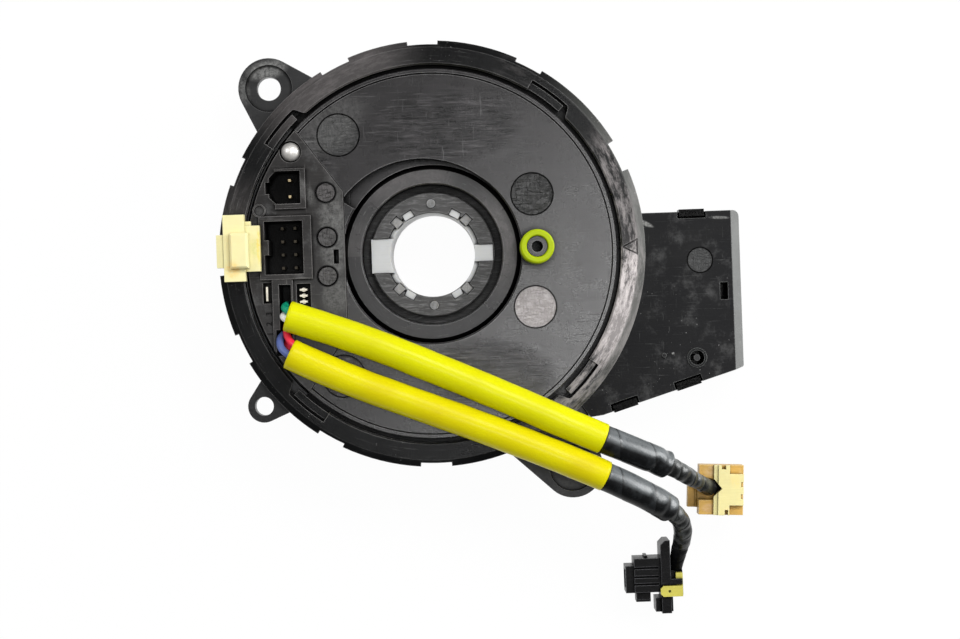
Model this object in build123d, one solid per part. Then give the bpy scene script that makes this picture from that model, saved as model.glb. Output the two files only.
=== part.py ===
from build123d import *
import os
from math import atan2, cos, degrees, hypot, radians, sin, tan

# A steering clock spring: a rotor that turns with the steering wheel inside a ring-topped case, with a
# flat cable wound between them. Millimetres. The origin is on the steering shaft's axis, in the plane of
# the mounting ears' rear faces. +Z points along the shaft to the steering wheel, +X to the connector wing.

# --- Clearances and seats ---
RUNNING = 0.05          # radial play of the rotor journal in its bearing
TURN_GAP = 0.3          # between faces that pass each other as the rotor turns
FIT_GAP = 0.15          # round a piece that drops into a pocket
PIN_GAP = 0.1           # round a pin or post in its hole

# --- Levels along the shaft ---
REAR_Z = -9.0           # the plane that the case and the wing stand on
RING_TOP_Z = 20.0
RING_THICK = 3.2
DISC_TOP_Z = 19.2
DISC_THICK = 2.1
CABLE_LOW_Z = -3.6      # lower edge of the wound flat cable
CABLE_WIDTH = 10.0
COVER_Z = -5.0          # inner face of the rear cover
COVER_THICK = 1.5

# --- Case and ring ---
CASE_R = 51.6
CASE_WALL = 2.0
CASE_BORE_R = CASE_R - CASE_WALL
WALL_TOP_Z = RING_TOP_Z - RING_THICK
SHOULDER_WIDTH = 2.4    # ledge inside the case that carries the rotor's foot
SHOULDER_THICK = 1.4
RING_R = CASE_R + 1.8
RING_BORE_R = 47.3
RING_EDGE = 0.4
RIM_BEVEL = (1.7, 0.9)  # width and drop of the sloping band along the rim
SKIRT_WALL = 0.6        # skirt under the ring, outside the case wall
SKIRT_DEPTH = 4.0
# Rim notches of the ring: (middle angle, width in degrees, depth)
RIM_NOTCHES = [
    (25.7, 8.6, 1.6), (60.8, 7.6, 1.0), (90.7, 8.2, 1.0), (115.5, 8.2, 1.0), (155.2, 8.0, 1.0),
    (178.5, 11.0, 1.2), (204.8, 8.4, 1.0), (239.4, 7.6, 1.0), (269.2, 8.4, 1.0),
]
LATCH_ANGLES = [51.1, 137.9, 228.4, 317.4]
LATCH_SPAN = 13.6       # degrees of the pocket round each latch finger of the ring
LATCH_SWEEP = 1.4       # degrees that the pocket's free end leans to each side
LATCH_R = 50.1
FINGER_GAP = 0.3        # from the ring's bore to the finger
FINGER_WIDTH = 1.8
FINGER_DROP = 0.4
MARK_R = 49.35          # alignment triangle on the ring
MARK_SIZE = 4.2
MARK_LINE = 0.4
MARK_DEPTH = 0.25

# --- Ears: angle, hole's distance out from the case wall, hole radius, outer radius, dish radius, root
# radius, root's distance in from the case wall ---
EAR_THICK = 4.0
DISH_DEPTH = 1.0
EARS = [
    (132.65, 8.77, 3.05, 7.8, 6.05, 11.7, 4.6),
    (219.78, 6.69, 2.4, 4.2, 0.0, 6.6, 1.7),
    (301.4, 13.66, 3.05, 7.8, 6.05, 12.0, 1.6),
]

# --- Connector wing on the case ---
WING_TOP_Y = 8.9
WING_X = CASE_R + 27.1
WING_CORNER_Y = -31.2
WING_FOOT = (CASE_R - 9.5, -42.5)       # where its slanting edge meets the case
WING_SLANT = (WING_X - 2.4, -32.1)
WING_ROUND = 1.6
WING_HEEL_ROUND = 0.6
WING_WALL = 1.5
WING_FLOOR = 1.6
LID_TOP_Z = 6.0
LID_THICK = 1.5
LID_BEVEL = 2.2                 # width of the sloping strip along the lid's outer edge
LID_BEVEL_DROP = 1.1
LID_SLOT = (WING_X - 4.5, -11.7, 2.0, 4.4)
LID_HOLE = (WING_X - 12.0, -28.6, 1.85)
LID_NUB = (WING_X - 20.4, -27.7, 0.6)
LID_MARK = (WING_X - 10.4, -3.6, 3.25)
CLIP_LENGTH = 6.4
CLIP_WIDTH = 1.9
CLIP_GAP = 0.45
TOP_CLIP = (WING_X - 12.2, 0.3)         # x, distance in from the wing's edge
SLANT_CLIPS = [0.17, 0.65]              # places along the slanting edge, from the foot
SLANT_CLIP_IN = 0.6
# Sockets in the wing's rear: (x, y, width, height, pins along, rows)
WING_SOCKETS = [(WING_X - 15.2, -4.5, 15.0, 8.0, 6, 2), (WING_X - 12.2, -19.0, 9.0, 7.0, 3, 2)]
SOCKET_WALL = 1.2
SOCKET_DEPTH = 10.0
PIN_PITCH = 2.2
PIN_SIZE = 0.64
PIN_RECESS = 5.4                # from the socket's mouth to the pin tips

# --- Rotor disc ---
DISC_R = RING_BORE_R - 0.9
LIP_WIDTH = 1.4
LIP_RISE = 0.25
LIP_GROOVE = 0.35
FOOT_R = 48.6
FOOT_THICK = 1.0
WELL_R = 22.4                   # opening round the hub
COLLAR_WALL = 2.0
COLLAR_LOW_Z = -1.0
SHELF_DROP = 2.6                # crescent shelf beside the well, below the disc
SHELF_WALL = 1.2
# Outer edge of the shelf: (angle, radius)
SHELF_START, SHELF_MIDDLE, SHELF_END = (16.0, 22.4), (92.0, 23.9), (148.0, 26.4)
MARKS = [(-22.5, 30.5), (-23.1, -29.9), (25.5, 14.1), (25.4, -14.2)]    # round moulding marks
MARK_ROUND_R = 5.3
MARK_ROUND_DEPTH = 0.15
PIN_X, PIN_Y = 26.1, 0.6        # drive pin
PIN_POST_R = 2.5
PIN_POST_HOLE_R = 1.4
PIN_TOP_Z = 30.0
SLEEVE_PIN_R = 4.2

# --- Connector block on the rotor ---
BLOCK_R = DISC_R - 0.2
BLOCK_TOP_Z = 19.4
BLOCK_LOW_Z = 17.0
FRAME_TOP_Z = 20.2              # rims round the sockets
SOCKET_LOW_Z = 8.2              # underside of the socket bodies
SOCKET_FLOOR = 1.4
BLOCK_TIP = (-32.8, 31.4)       # corners of its straight inner edges
BLOCK_KNEE = (-21.8, 16.3)
BLOCK_FOOT = (-21.8, -19.0)
BLOCK_END = (-32.0, -33.6)
LEDGE_THICK = 2.0
LEDGE_WIDTH = 7.0
LEDGE_ROOT = 1.5
SMALL_SOCKET = (-40.3, -32.4, 13.7, 21.9)       # x from, x to, y from, y to
SMALL_CHAMFER = 1.7
SMALL_KEY = (-41.2, 16.3, 19.2)                 # x of the key slot's end, y from, y to
LARGE_SOCKET = (-41.8, -32.2, -3.9, 9.4)
LARGE_KEY = (-40.8, 1.0, 4.7)                   # x of the rib's face, y from, y to
FRAME_WALL = 1.3
SCREW_AT = (-34.6, 26.7)
SCREW_HEAD_R = 2.35
SCREW_R = 1.0
SCREW_LENGTH = 7.0
BOSS_R = 3.1
STAKES = [(-26.1, 16.2), (-26.1, 5.0), (-26.3, -4.7)]
STAKE_R = 1.2
STAKE_HEAD_R = 2.5
STAKE_HEAD = 0.35
CABLE_SLOT = (-24.0, 0.1, 1.35, 3.6)
BLOCK_DISC = (-42.9, 12.2, 1.7)                 # small raised ring beside the sockets
CHANNEL = (-38.6, -35.6, -21.6, -6.5)           # wire channel
CHANNEL_LOW_Z = 9.6
CHANNEL_EXIT_Z = 16.0                           # floor of the notch where the wires leave it
CHANNEL_LEAN = 1.0                              # the notch's widening, where a wire leans out
CHANNEL_EXIT_LENGTH = 3.8
CHANNEL_WALL = 1.7
TERMINAL_DEPTH = 3.4                            # pocket right of the channel, below the block's face
LEFT_TERMINAL_DEPTH = 1.5
TERMINAL_PITCH = 1.5
BLADE_ASIDE = 0.9                               # the socket blades' place right of the even one
BLADE_HEIGHT = 5.2
LOCK_POCKET = (-45.3, -44.1, 0.4, 5.8)
LOCK_POCKET_Z = 13.8

# --- Hub ---
DRUM_R = WELL_R - TURN_GAP
DRUM_BORE_R = 17.7
DRUM_TOP_Z = 15.5
DRUM_LOW_Z = -8.6
DRUM_FLANGE_R = 26.4
DRUM_FLANGE = 2.0
JOURNAL_R = 24.0
SHELF_Z = 9.3                   # shelf in the drum that the hub plate sits on
SHELF_THICK = 1.8
SHELF_BORE_R = 14.5
HUB_STEP = 1.0
HUB_TOP_Z = 12.3
HUB_R = 15.7
BORE_R = 10.7                   # bore of the cancelling cam, round the steering shaft
HUB_BORE_R = 10.85
HUB_SIDE_R = 11.9
HUB_CAP_HALF = 27.0             # half angle of the narrow stretches of the hub plate's bore
CAM_FLANGE_R = 14.3
CAM_FLANGE = 1.9
CAM_WALL = 1.7
CAM_LOW_Z = -8.5
LOBE_R = 15.5
LOBE_SPAN = 44.0
CAM_STAKE_AT = 12.9
CAM_STAKE_R = 1.1
LEFT_TAB = (15.5, 8.6)          # reach, width
RIGHT_TAB = (15.3, 4.2)
KEY_ANGLES = [44.3, 136.5, 224.2, 313.7]
KEY_AT, KEY_SIZE = 12.2, 2.2
TAB_ANGLES = [59.5, 120.5, 239.5, 300.5]
TAB_AT, TAB_LENGTH, TAB_DEPTH = 11.7, 2.6, 1.6

# --- Flat cable and its end pieces ---
CABLE_THICK = 0.3
CABLE_IN = 0.6                  # from the inner end piece to the first turn
CABLE_PITCH = 3.0
CABLE_TURNS = 6
INNER_END_R = (WELL_R + COLLAR_WALL + PIN_GAP, WELL_R + COLLAR_WALL + PIN_GAP + 3.3)
CABLE_START_R = INNER_END_R[1] + CABLE_IN
INNER_END_SPAN = 16.0
OUTER_END_Y = (-12.0, -2.0)

# --- Transit lock ---
LOCK_Z = 20.4
LOCK_BODY = (-51.7, -46.4, -5.4, 11.2)
LOCK_BULGE = (-53.5, -1.9, 6.3)
LOCK_ARM = (-42.7, -3.0, 8.4)
LOCK_BODY_TOP = 23.6
LOCK_PAD_TOP = 25.6
LOCK_ARM_TOP = 22.8
TONGUE = (-45.1, -44.3, 0.8, 5.4)
TONGUE_LOW_Z = 14.6

# --- Leads ---
BUNDLE_R = 2.4
SLEEVE_R, SLEEVE_BORE_R = 3.8, 3.15
TAPE_R = 3.7
WRAP_GAP = 0.05
WIRE_R = 0.95
BUNDLE_INSET = 4.0              # from the sleeve's mouth to where the loose wires join
WIRE_END_GAP = 0.1
UPPER_PATH = [
    (-36.2, -14.4, 24.2), (-22.4, -19.1, 24.2), (-4.8, -26.5, 24.2), (15.7, -35.7, 24.2),
    (33.3, -44.1, 24.2), (47.1, -50.4, 22.6), (58.4, -55.5, 17.4), (64.0, -59.3, 11.4),
    (69.1, -62.4, 3.6),
]
LOWER_PATH = [
    (-36.0, -23.8, 24.2), (-23.8, -29.9, 24.2), (-9.1, -35.8, 24.2), (6.6, -41.9, 24.2),
    (23.2, -48.7, 24.2), (39.4, -55.9, 24.0), (50.3, -61.6, 21.4), (57.0, -65.8, 16.8),
    (60.9, -69.6, 11.4), (61.6, -74.4, 5.0), (60.8, -79.2, -0.9), (60.1, -83.0, -4.2),
]
SLEEVE_LENGTH = 84.0
UPPER_TAPE_LENGTH = 18.6
LOWER_TAPE_LENGTH = 20.2
# Loose wires: (points up out of the channel, place across the sleeve, place above its middle)
UPPER_WIRES = {
    "wire_green": ([(-37.1, -11.5, 11.2), (-37.1, -11.5, 18.6)], 1.05, 0.0),
    "wire_white": ([(-37.1, -13.7, 11.2), (-37.1, -13.7, 17.6)], -1.05, 0.0),
}
LOWER_WIRES = {
    "wire_red_1": ([(-37.1, -15.9, 11.2), (-37.2, -15.9, 18.6)], 2.0, 0.7),
    "wire_red_2": ([(-36.9, -20.3, 11.2), (-36.8, -20.3, 17.2)], 1.3, -1.1),
    "wire_blue": ([(-37.5, -18.3, 11.2), (-37.6, -18.5, 17.4), (-38.9, -20.4, 22.6)], -0.6, 0.6),
}

# --- Ivory plug (mating end down) ---
IVORY_AT = (71.9, -62.9)
IVORY_TURN = -3.0
IVORY_BODY = (11.4, 12.8)
IVORY_NOSE_R = 5.4
IVORY_LOW_Z = REAR_Z
IVORY_HEAD_Z = IVORY_LOW_Z + 8.0
IVORY_TOP_Z = IVORY_HEAD_Z + 4.8
IVORY_LID_Z = IVORY_TOP_Z + 1.8
IVORY_CHANNEL = 5.3

# --- Black plug (mating end to -X) ---
BLACK_AT = (55.9, -85.1, REAR_Z + 5.2)
BLACK_HEAD = (2.5, 18.8, 10.4)  # thickness, length, height of its head plate
LOCK_THUMB_Z = 1.7              # underside of the lock's thumb plate, above the plug's middle


def block(x0, x1, y0, y1, z0, z1):
    """A box between two corners."""
    return Pos((x0 + x1) / 2, (y0 + y1) / 2, (z0 + z1) / 2) * Box(x1 - x0, y1 - y0, z1 - z0)


def slab(face, z0, z1):
    """A flat outline raised from z0 to z1."""
    return Pos(0, 0, z0) * extrude(face, z1 - z0)


def post(x, y, r, z0, z1):
    """An upright cylinder."""
    return slab(Pos(x, y) * Circle(r), z0, z1)


def tube(r_out, r_in, z0, z1):
    """An upright tube on the axis."""
    return slab(Circle(r_out) - Circle(r_in), z0, z1)


def turned(points):
    """A closed outline of (radius, height) turned about the axis."""
    outline = Plane.XZ * make_face(Polyline(*points, close=True))
    return revolve(outline, Axis.Z)


def sector(r_in, r_out, middle, span):
    """A flat piece of a ring."""
    start = middle - span / 2
    inner = CenterArc((0, 0), r_in, start, span)
    outer = CenterArc((0, 0), r_out, start, span)
    return make_face([inner, outer, Line(inner @ 0, outer @ 0), Line(inner @ 1, outer @ 1)])


def polar(angle, r):
    return (r * cos(radians(angle)), r * sin(radians(angle)))


def rect(x0, x1, y0, y1):
    return Pos((x0 + x1) / 2, (y0 + y1) / 2) * Rectangle(x1 - x0, y1 - y0)


# --- Stator ---


def ear_outline(x, y, r_out, root_r, root_at):
    """An ear's outline: its eye drawn out by straight flanks to a wider root on the case."""
    share = root_at / hypot(x, y)
    eye = Pos(x, y) * Circle(r_out)
    root = Pos(x * share, y * share) * Circle(root_r)
    return make_hull(eye.edges() + root.edges())


def ears():
    """The three mounting ears, with a dished face round the larger holes."""
    made = Part()
    for angle, reach, hole_r, r_out, dish_r, root_r, root_in in EARS:
        x, y = polar(angle, CASE_R + reach)
        ear = slab(ear_outline(x, y, r_out, root_r, CASE_R - root_in), 0, EAR_THICK)
        if dish_r:
            ear -= post(x, y, dish_r, EAR_THICK - DISH_DEPTH, EAR_THICK + 1)
        ear -= post(x, y, hole_r, -1, EAR_THICK + 1)
        made += ear
    return made


def wing_outline():
    """The wing's outline, reaching in under the ring."""
    points = [
        (30, WING_TOP_Y), (WING_X, WING_TOP_Y), (WING_X, WING_CORNER_Y), WING_SLANT, WING_FOOT,
        (WING_FOOT[0] - 3.2, WING_FOOT[1] - 0.4), (30, -30),
    ]
    face = make_face(Polyline(*points, close=True))
    corner = face.vertices().sort_by_distance((WING_X, WING_TOP_Y))[0]
    face = fillet(corner, WING_ROUND)
    heel = face.vertices().sort_by_distance((WING_X, WING_CORNER_Y))[0]
    return fillet(heel, WING_HEEL_ROUND)


def wing_clips(margin):
    """Outlines of the snap clips, grown by a margin."""
    size = (CLIP_LENGTH + 2 * margin, CLIP_WIDTH + 2 * margin)
    shapes = Pos(TOP_CLIP[0], WING_TOP_Y - TOP_CLIP[1]) * Rectangle(*size)
    run, rise = WING_SLANT[0] - WING_FOOT[0], WING_SLANT[1] - WING_FOOT[1]
    for share in SLANT_CLIPS:
        place = Pos(WING_FOOT[0] + share * run, WING_FOOT[1] + share * rise + SLANT_CLIP_IN)
        shapes += place * Rot(0, 0, degrees(atan2(rise, run))) * Rectangle(*size)
    return shapes


def case_body():
    """The case: round wall, mounting ears and the tray of the connector wing, in one moulding."""
    shoulder_z = DISC_TOP_Z - 3.8 - TURN_GAP
    lid_z = LID_TOP_Z - LID_THICK
    wing = slab(wing_outline(), REAR_Z, lid_z)
    inside = offset(wing_outline(), -WING_WALL)
    body = tube(CASE_R, CASE_R - 3.0, REAR_Z, WALL_TOP_Z) + ears() + wing
    body -= slab(inside - Circle(CASE_R), REAR_Z + WING_FLOOR, lid_z + 1)
    body -= post(0, 0, CASE_BORE_R, REAR_Z - 1, WALL_TOP_Z + 1)
    ledge_r = CASE_BORE_R - SHOULDER_WIDTH
    body += tube(CASE_BORE_R + 0.5, ledge_r, shoulder_z - SHOULDER_THICK, shoulder_z)
    body += tube(CASE_BORE_R + 0.5, CASE_BORE_R - 2.0, COVER_Z, COVER_Z + 1.2)
    for x, y, width, height, along, rows in WING_SOCKETS:
        outer = Pos(x, y) * Rectangle(width + 2 * SOCKET_WALL, height + 2 * SOCKET_WALL)
        inner = Pos(x, y) * Rectangle(width, height)
        body += slab(outer, REAR_Z, REAR_Z + SOCKET_DEPTH)
        body -= slab(inner, REAR_Z - 1, REAR_Z + SOCKET_DEPTH + 1)
    window = (CASE_BORE_R - 3, CASE_R + 1, OUTER_END_Y[0] - FIT_GAP, OUTER_END_Y[1] + FIT_GAP)
    body -= block(*window, CABLE_LOW_Z - 0.2, lid_z + 0.01)
    hooks = wing_clips(0) & offset(wing_outline(), 0.6)
    body += slab(hooks, 0.5, LID_TOP_Z + 0.3)
    x, y, r = LID_HOLE
    body += post(x, y, r - 1.0, REAR_Z + WING_FLOOR - 0.1, LID_TOP_Z - 0.5)
    return body


def ring_mark():
    """The alignment triangle's outline, pointing at the axis."""
    half = MARK_SIZE / 2
    points = [(MARK_R - half, 0), (MARK_R + half, half), (MARK_R + half, -half)]
    outline = make_face(Polyline(*points, close=True))
    return outline - offset(outline, -MARK_LINE)


def latch_pocket(middle):
    """Outline of the pocket round a latch finger: square at the finger's root, swept at its free end."""
    root, free = middle + LATCH_SPAN / 2, middle - LATCH_SPAN / 2
    start, end = free - LATCH_SWEEP, free + LATCH_SWEEP
    headings = [polar(angle + 90, 1) for angle in (start, end)]
    sweep = Spline([polar(start, RING_BORE_R), polar(end, LATCH_R)], tangents=headings)
    outer = CenterArc((0, 0), LATCH_R, end, root - end)
    inner = CenterArc((0, 0), RING_BORE_R - 1, start, root - start)
    return make_face([sweep, outer, Line(outer @ 1, inner @ 1), inner, Line(inner @ 0, sweep @ 0)])


def top_ring():
    """The ring that closes the case: notched rim, four latch fingers in pockets, skirt and mark."""
    low, top, edge = WALL_TOP_Z, RING_TOP_Z, RING_EDGE
    skirt_in = CASE_R + PIN_GAP
    skirt_out = skirt_in + SKIRT_WALL
    ring = turned([
        (RING_BORE_R, low), (skirt_in, low), (skirt_in, low - SKIRT_DEPTH), (skirt_out, low - SKIRT_DEPTH),
        (skirt_out, low), (RING_R, low), (RING_R, top - RIM_BEVEL[1]), (RING_R - RIM_BEVEL[0], top),
        (RING_BORE_R + edge, top), (RING_BORE_R, top - edge),
    ])
    for middle, span, depth in RIM_NOTCHES:
        ring -= slab(sector(RING_R - depth, RING_R + 2, middle, span), low - 5, top + 1)
    finger_in = RING_BORE_R + FINGER_GAP
    for middle in LATCH_ANGLES:
        ring -= slab(latch_pocket(middle), low - 1, top + 1)
        bar = sector(finger_in, finger_in + FINGER_WIDTH, middle + LATCH_SWEEP, LATCH_SPAN - LATCH_SWEEP)
        ring += slab(bar, low, top - FINGER_DROP)
    ring -= slab(ring_mark(), top - MARK_DEPTH, top + 1)
    return ring


def rear_cover():
    """The plate behind the flat cable, with the rotor's bearing and stiffening ribs."""
    bearing_r = JOURNAL_R + RUNNING
    low = COVER_Z - COVER_THICK
    plate = tube(CASE_BORE_R - FIT_GAP, bearing_r, low, COVER_Z)
    plate += tube(bearing_r + 1.6, bearing_r, REAR_Z + 0.4, low + 0.1)
    for i in range(8):
        rib = block(bearing_r + 1.5, CASE_BORE_R - 3, -0.6, 0.6, low - 1.2, low + 0.1)
        plate += Rot(0, 0, 22.5 + 45 * i) * rib
    return plate


def wing_lid():
    """The lid of the connector wing: bevelled outer strip, clip notches, slot, hole and moulding marks."""
    low = LID_TOP_Z - LID_THICK
    lid = slab(wing_outline() - Circle(CASE_R + FIT_GAP), low, LID_TOP_Z)
    bevel = Plane.XZ * make_face(Polyline(
        (WING_X - LID_BEVEL, LID_TOP_Z), (WING_X + 1, LID_TOP_Z - LID_BEVEL_DROP * (1 + 1 / LID_BEVEL)),
        (WING_X + 1, LID_TOP_Z + 1), (WING_X - LID_BEVEL, LID_TOP_Z + 1), close=True,
    ))
    lid -= Pos(0, WING_TOP_Y + 1, 0) * extrude(bevel, 2 * (WING_TOP_Y - WING_SLANT[1]))
    lid -= slab(wing_clips(CLIP_GAP), low - 1, LID_TOP_Z + 1)
    x, y, width, height = LID_SLOT
    lid -= block(x - width / 2, x + width / 2, y - height / 2, y + height / 2, low - 1, LID_TOP_Z + 1)
    x, y, r = LID_HOLE
    lid += post(x, y, r + 0.7, LID_TOP_Z - 0.5, LID_TOP_Z + 0.2)
    lid -= post(x, y, r, low - 1, LID_TOP_Z + 1)
    x, y, r = LID_NUB
    lid += post(x, y, r, LID_TOP_Z - 0.5, LID_TOP_Z + 0.5)
    x, y, r = LID_MARK
    lid -= post(x, y, r, LID_TOP_Z - MARK_ROUND_DEPTH, LID_TOP_Z + 1)
    return lid


def pin_places(x, y, along, rows):
    for i in range(along):
        for j in range(rows):
            yield x + (i - (along - 1) / 2) * PIN_PITCH, y + (j - (rows - 1) / 2) * PIN_PITCH * 1.3


def terminal_carrier():
    """The insert in the wing: roof of both sockets, and the tongue that reaches the flat cable's end."""
    roof = REAR_Z + SOCKET_DEPTH
    top = roof + 2
    first, second = WING_SOCKETS
    carrier = Part()
    for x, y, width, height, along, rows in WING_SOCKETS:
        outer = Pos(x, y) * Rectangle(width + 2 * SOCKET_WALL, height + 2 * SOCKET_WALL)
        carrier += slab(outer, roof, top)
    carrier += block(CASE_R + 0.6, first[0], *OUTER_END_Y, roof, top)
    carrier += block(second[0] - 3, second[0] + 3, second[1], first[1], roof, top)
    carrier += block(CASE_BORE_R - 1.6, CASE_R + 1.2, *OUTER_END_Y, CABLE_LOW_Z, top)
    for x, y, width, height, along, rows in WING_SOCKETS:
        for px, py in pin_places(x, y, along, rows):
            carrier -= slab(Pos(px, py) * Rectangle(PIN_SIZE, PIN_SIZE), roof - 1, roof + 3)
    return carrier


def wing_pins(socket):
    """The square pins of one rear socket, all alike."""
    x, y, width, height, along, rows = socket
    half = PIN_SIZE / 2
    low = REAR_Z + PIN_RECESS
    top = REAR_Z + SOCKET_DEPTH + 2.8
    return [
        block(px - half, px + half, py - half, py + half, low, top)
        for px, py in pin_places(x, y, along, rows)
    ]


def flat_cable():
    """The flat cable: half turns of growing radius, each one tangent to the last."""
    half = CABLE_THICK / 2
    edges = []
    for side in (-half, half):
        for i in range(2 * CABLE_TURNS):
            r = CABLE_START_R + CABLE_PITCH / 4 + i * CABLE_PITCH / 2
            centre = (CABLE_PITCH / 4 if i % 2 else -CABLE_PITCH / 4, 0)
            edges.append(CenterArc(centre, r + side, 180 * (i % 2), 180))
    inner, outer = edges[:2 * CABLE_TURNS], edges[2 * CABLE_TURNS:]
    caps = [Line(inner[0] @ 0, outer[0] @ 0), Line(inner[-1] @ 1, outer[-1] @ 1)]
    return slab(make_face(inner + outer + caps), CABLE_LOW_Z, CABLE_LOW_Z + CABLE_WIDTH)


# --- Rotor ---


def block_outline():
    """The connector block seen along the shaft: straight inner edges and the rotor's own rim."""
    far = (-60, 0)
    corners = [BLOCK_TIP, BLOCK_KNEE, BLOCK_FOOT, BLOCK_END, (-60, -61), far, (-60, 57)]
    return make_face(Polyline(*corners, close=True))


def shelf_outline(margin):
    """The well with its crescent bulge, grown by a margin."""
    start = polar(SHELF_START[0], SHELF_START[1])
    middle = polar(SHELF_MIDDLE[0], SHELF_MIDDLE[1])
    end = polar(SHELF_END[0], SHELF_END[1])
    bulge = ThreePointArc(start, middle, end)
    return offset(make_face([bulge, Line(end, (0, 0)), Line((0, 0), start)]), margin)


def stake(x, y):
    """A post on the ledge, its head melted flat over the connector block."""
    head_z = BLOCK_TOP_Z - 0.2
    return post(x, y, STAKE_R, BLOCK_LOW_Z - 0.5, head_z + 0.05) + post(
        x, y, STAKE_HEAD_R, head_z, head_z + STAKE_HEAD
    )


def rotor_disc():
    """The rotor's face: lipped disc, foot under the ring, collar down the hub, drive-pin post, and the
    ledge and stakes that hold the connector block."""
    top = DISC_TOP_Z
    low = top - DISC_THICK
    lip_r = DISC_R - LIP_WIDTH
    foot_low = top - 3.8
    disc = turned([
        (WELL_R + 0.4, top), (lip_r, top), (lip_r, top - LIP_GROOVE),
        (lip_r + LIP_GROOVE, top - LIP_GROOVE), (lip_r + LIP_GROOVE, top + LIP_RISE),
        (DISC_R - 0.3, top + LIP_RISE), (DISC_R, top),
        (DISC_R, foot_low + FOOT_THICK), (FOOT_R, foot_low + FOOT_THICK), (FOOT_R, foot_low),
        (DISC_R - 1.5, foot_low), (DISC_R - 1.5, low), (WELL_R + COLLAR_WALL, low),
        (WELL_R + COLLAR_WALL, COLLAR_LOW_Z), (WELL_R, COLLAR_LOW_Z), (WELL_R, top - 0.4),
    ])
    shelf_z = top - SHELF_DROP
    opening = block_outline()
    pan = shelf_outline(SHELF_WALL) - Circle(WELL_R + 0.5)
    disc += slab(pan, shelf_z - SHELF_WALL, low + 0.1)
    disc -= slab(shelf_outline(0) - Circle(WELL_R - 0.01), shelf_z, top + 1)
    disc -= slab(offset(opening, FIT_GAP, kind=Kind.INTERSECTION), low - 3, top + 1)
    ledge_low = BLOCK_LOW_Z - LEDGE_THICK
    rim = offset(opening, LEDGE_ROOT, kind=Kind.INTERSECTION)
    rim -= offset(opening, -LEDGE_WIDTH, kind=Kind.INTERSECTION)
    rim &= Circle(DISC_R - 1.6)
    rim -= Circle(WELL_R + 0.5)
    disc += slab(rim, ledge_low, low) - slab(opening, BLOCK_LOW_Z, low + 1)
    disc += post(*SCREW_AT, BOSS_R, BLOCK_LOW_Z - SCREW_LENGTH, BLOCK_LOW_Z)
    for hole in (small_body(FIT_GAP), large_body(FIT_GAP), channel_body(FIT_GAP)):
        disc -= slab(hole, SOCKET_LOW_Z - 1, BLOCK_LOW_Z + 0.01)
    disc -= post(*SCREW_AT, SCREW_R - 0.1, BLOCK_LOW_Z - SCREW_LENGTH + 1, BLOCK_LOW_Z + 1)
    disc -= slab(cable_slot(), ledge_low - 1, low)
    for x, y in STAKES:
        disc += stake(x, y)
    for x, y in MARKS:
        disc -= post(x, y, MARK_ROUND_R, top - MARK_ROUND_DEPTH, top + 1)
    disc += post(PIN_X, PIN_Y, PIN_POST_R, top - 1, PIN_TOP_Z - 0.6)
    disc -= post(PIN_X, PIN_Y, PIN_POST_HOLE_R, top + 2, PIN_TOP_Z + 1)
    return disc


def cable_slot():
    """Outline of the slot that the flat cable comes up through."""
    x, y, width, height = CABLE_SLOT
    return Pos(x, y) * Rectangle(width, height)


def small_body(margin):
    """Outline of the small socket's body, inside the rotor's rim."""
    x0, x1, y0, y1 = SMALL_SOCKET
    outline = rect(x0 - FRAME_WALL, x1 + FRAME_WALL, y0 - FRAME_WALL, y1 + FRAME_WALL)
    return offset(outline, margin, kind=Kind.INTERSECTION) & Circle(BLOCK_R)


def large_body(margin):
    x0, x1, y0, y1 = LARGE_SOCKET
    outline = rect(x0 - FRAME_WALL, x1 + FRAME_WALL + 0.9, y0 - FRAME_WALL, y1 + FRAME_WALL)
    return offset(outline, margin, kind=Kind.INTERSECTION) & Circle(BLOCK_R)


def channel_body(margin):
    x0, x1, y0, y1 = CHANNEL
    outline = rect(x0 - CHANNEL_WALL, x1 + 5.8, y0 - CHANNEL_WALL, y1 + 1.4)
    return offset(outline, margin, kind=Kind.INTERSECTION) & Circle(BLOCK_R)


def small_cavity():
    """The two-way socket's hollow: left corners cut off, key slot in its left wall."""
    x0, x1, y0, y1 = SMALL_SOCKET
    cut = SMALL_CHAMFER
    outline = make_face(Polyline(
        (x0 + cut, y0), (x1, y0), (x1, y1), (x0 + cut, y1), (x0, y1 - cut), (x0, y0 + cut), close=True
    ))
    key_x, key_y0, key_y1 = SMALL_KEY
    return outline + rect(key_x, x0 + 0.1, key_y0, key_y1)


def large_cavity():
    """The eight-way socket's hollow, with a key rib on its left wall."""
    x0, x1, y0, y1 = LARGE_SOCKET
    key_x, key_y0, key_y1 = LARGE_KEY
    return rect(x0, x1, y0, y1) - rect(x0 - 1, key_x, key_y0, key_y1)


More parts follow.
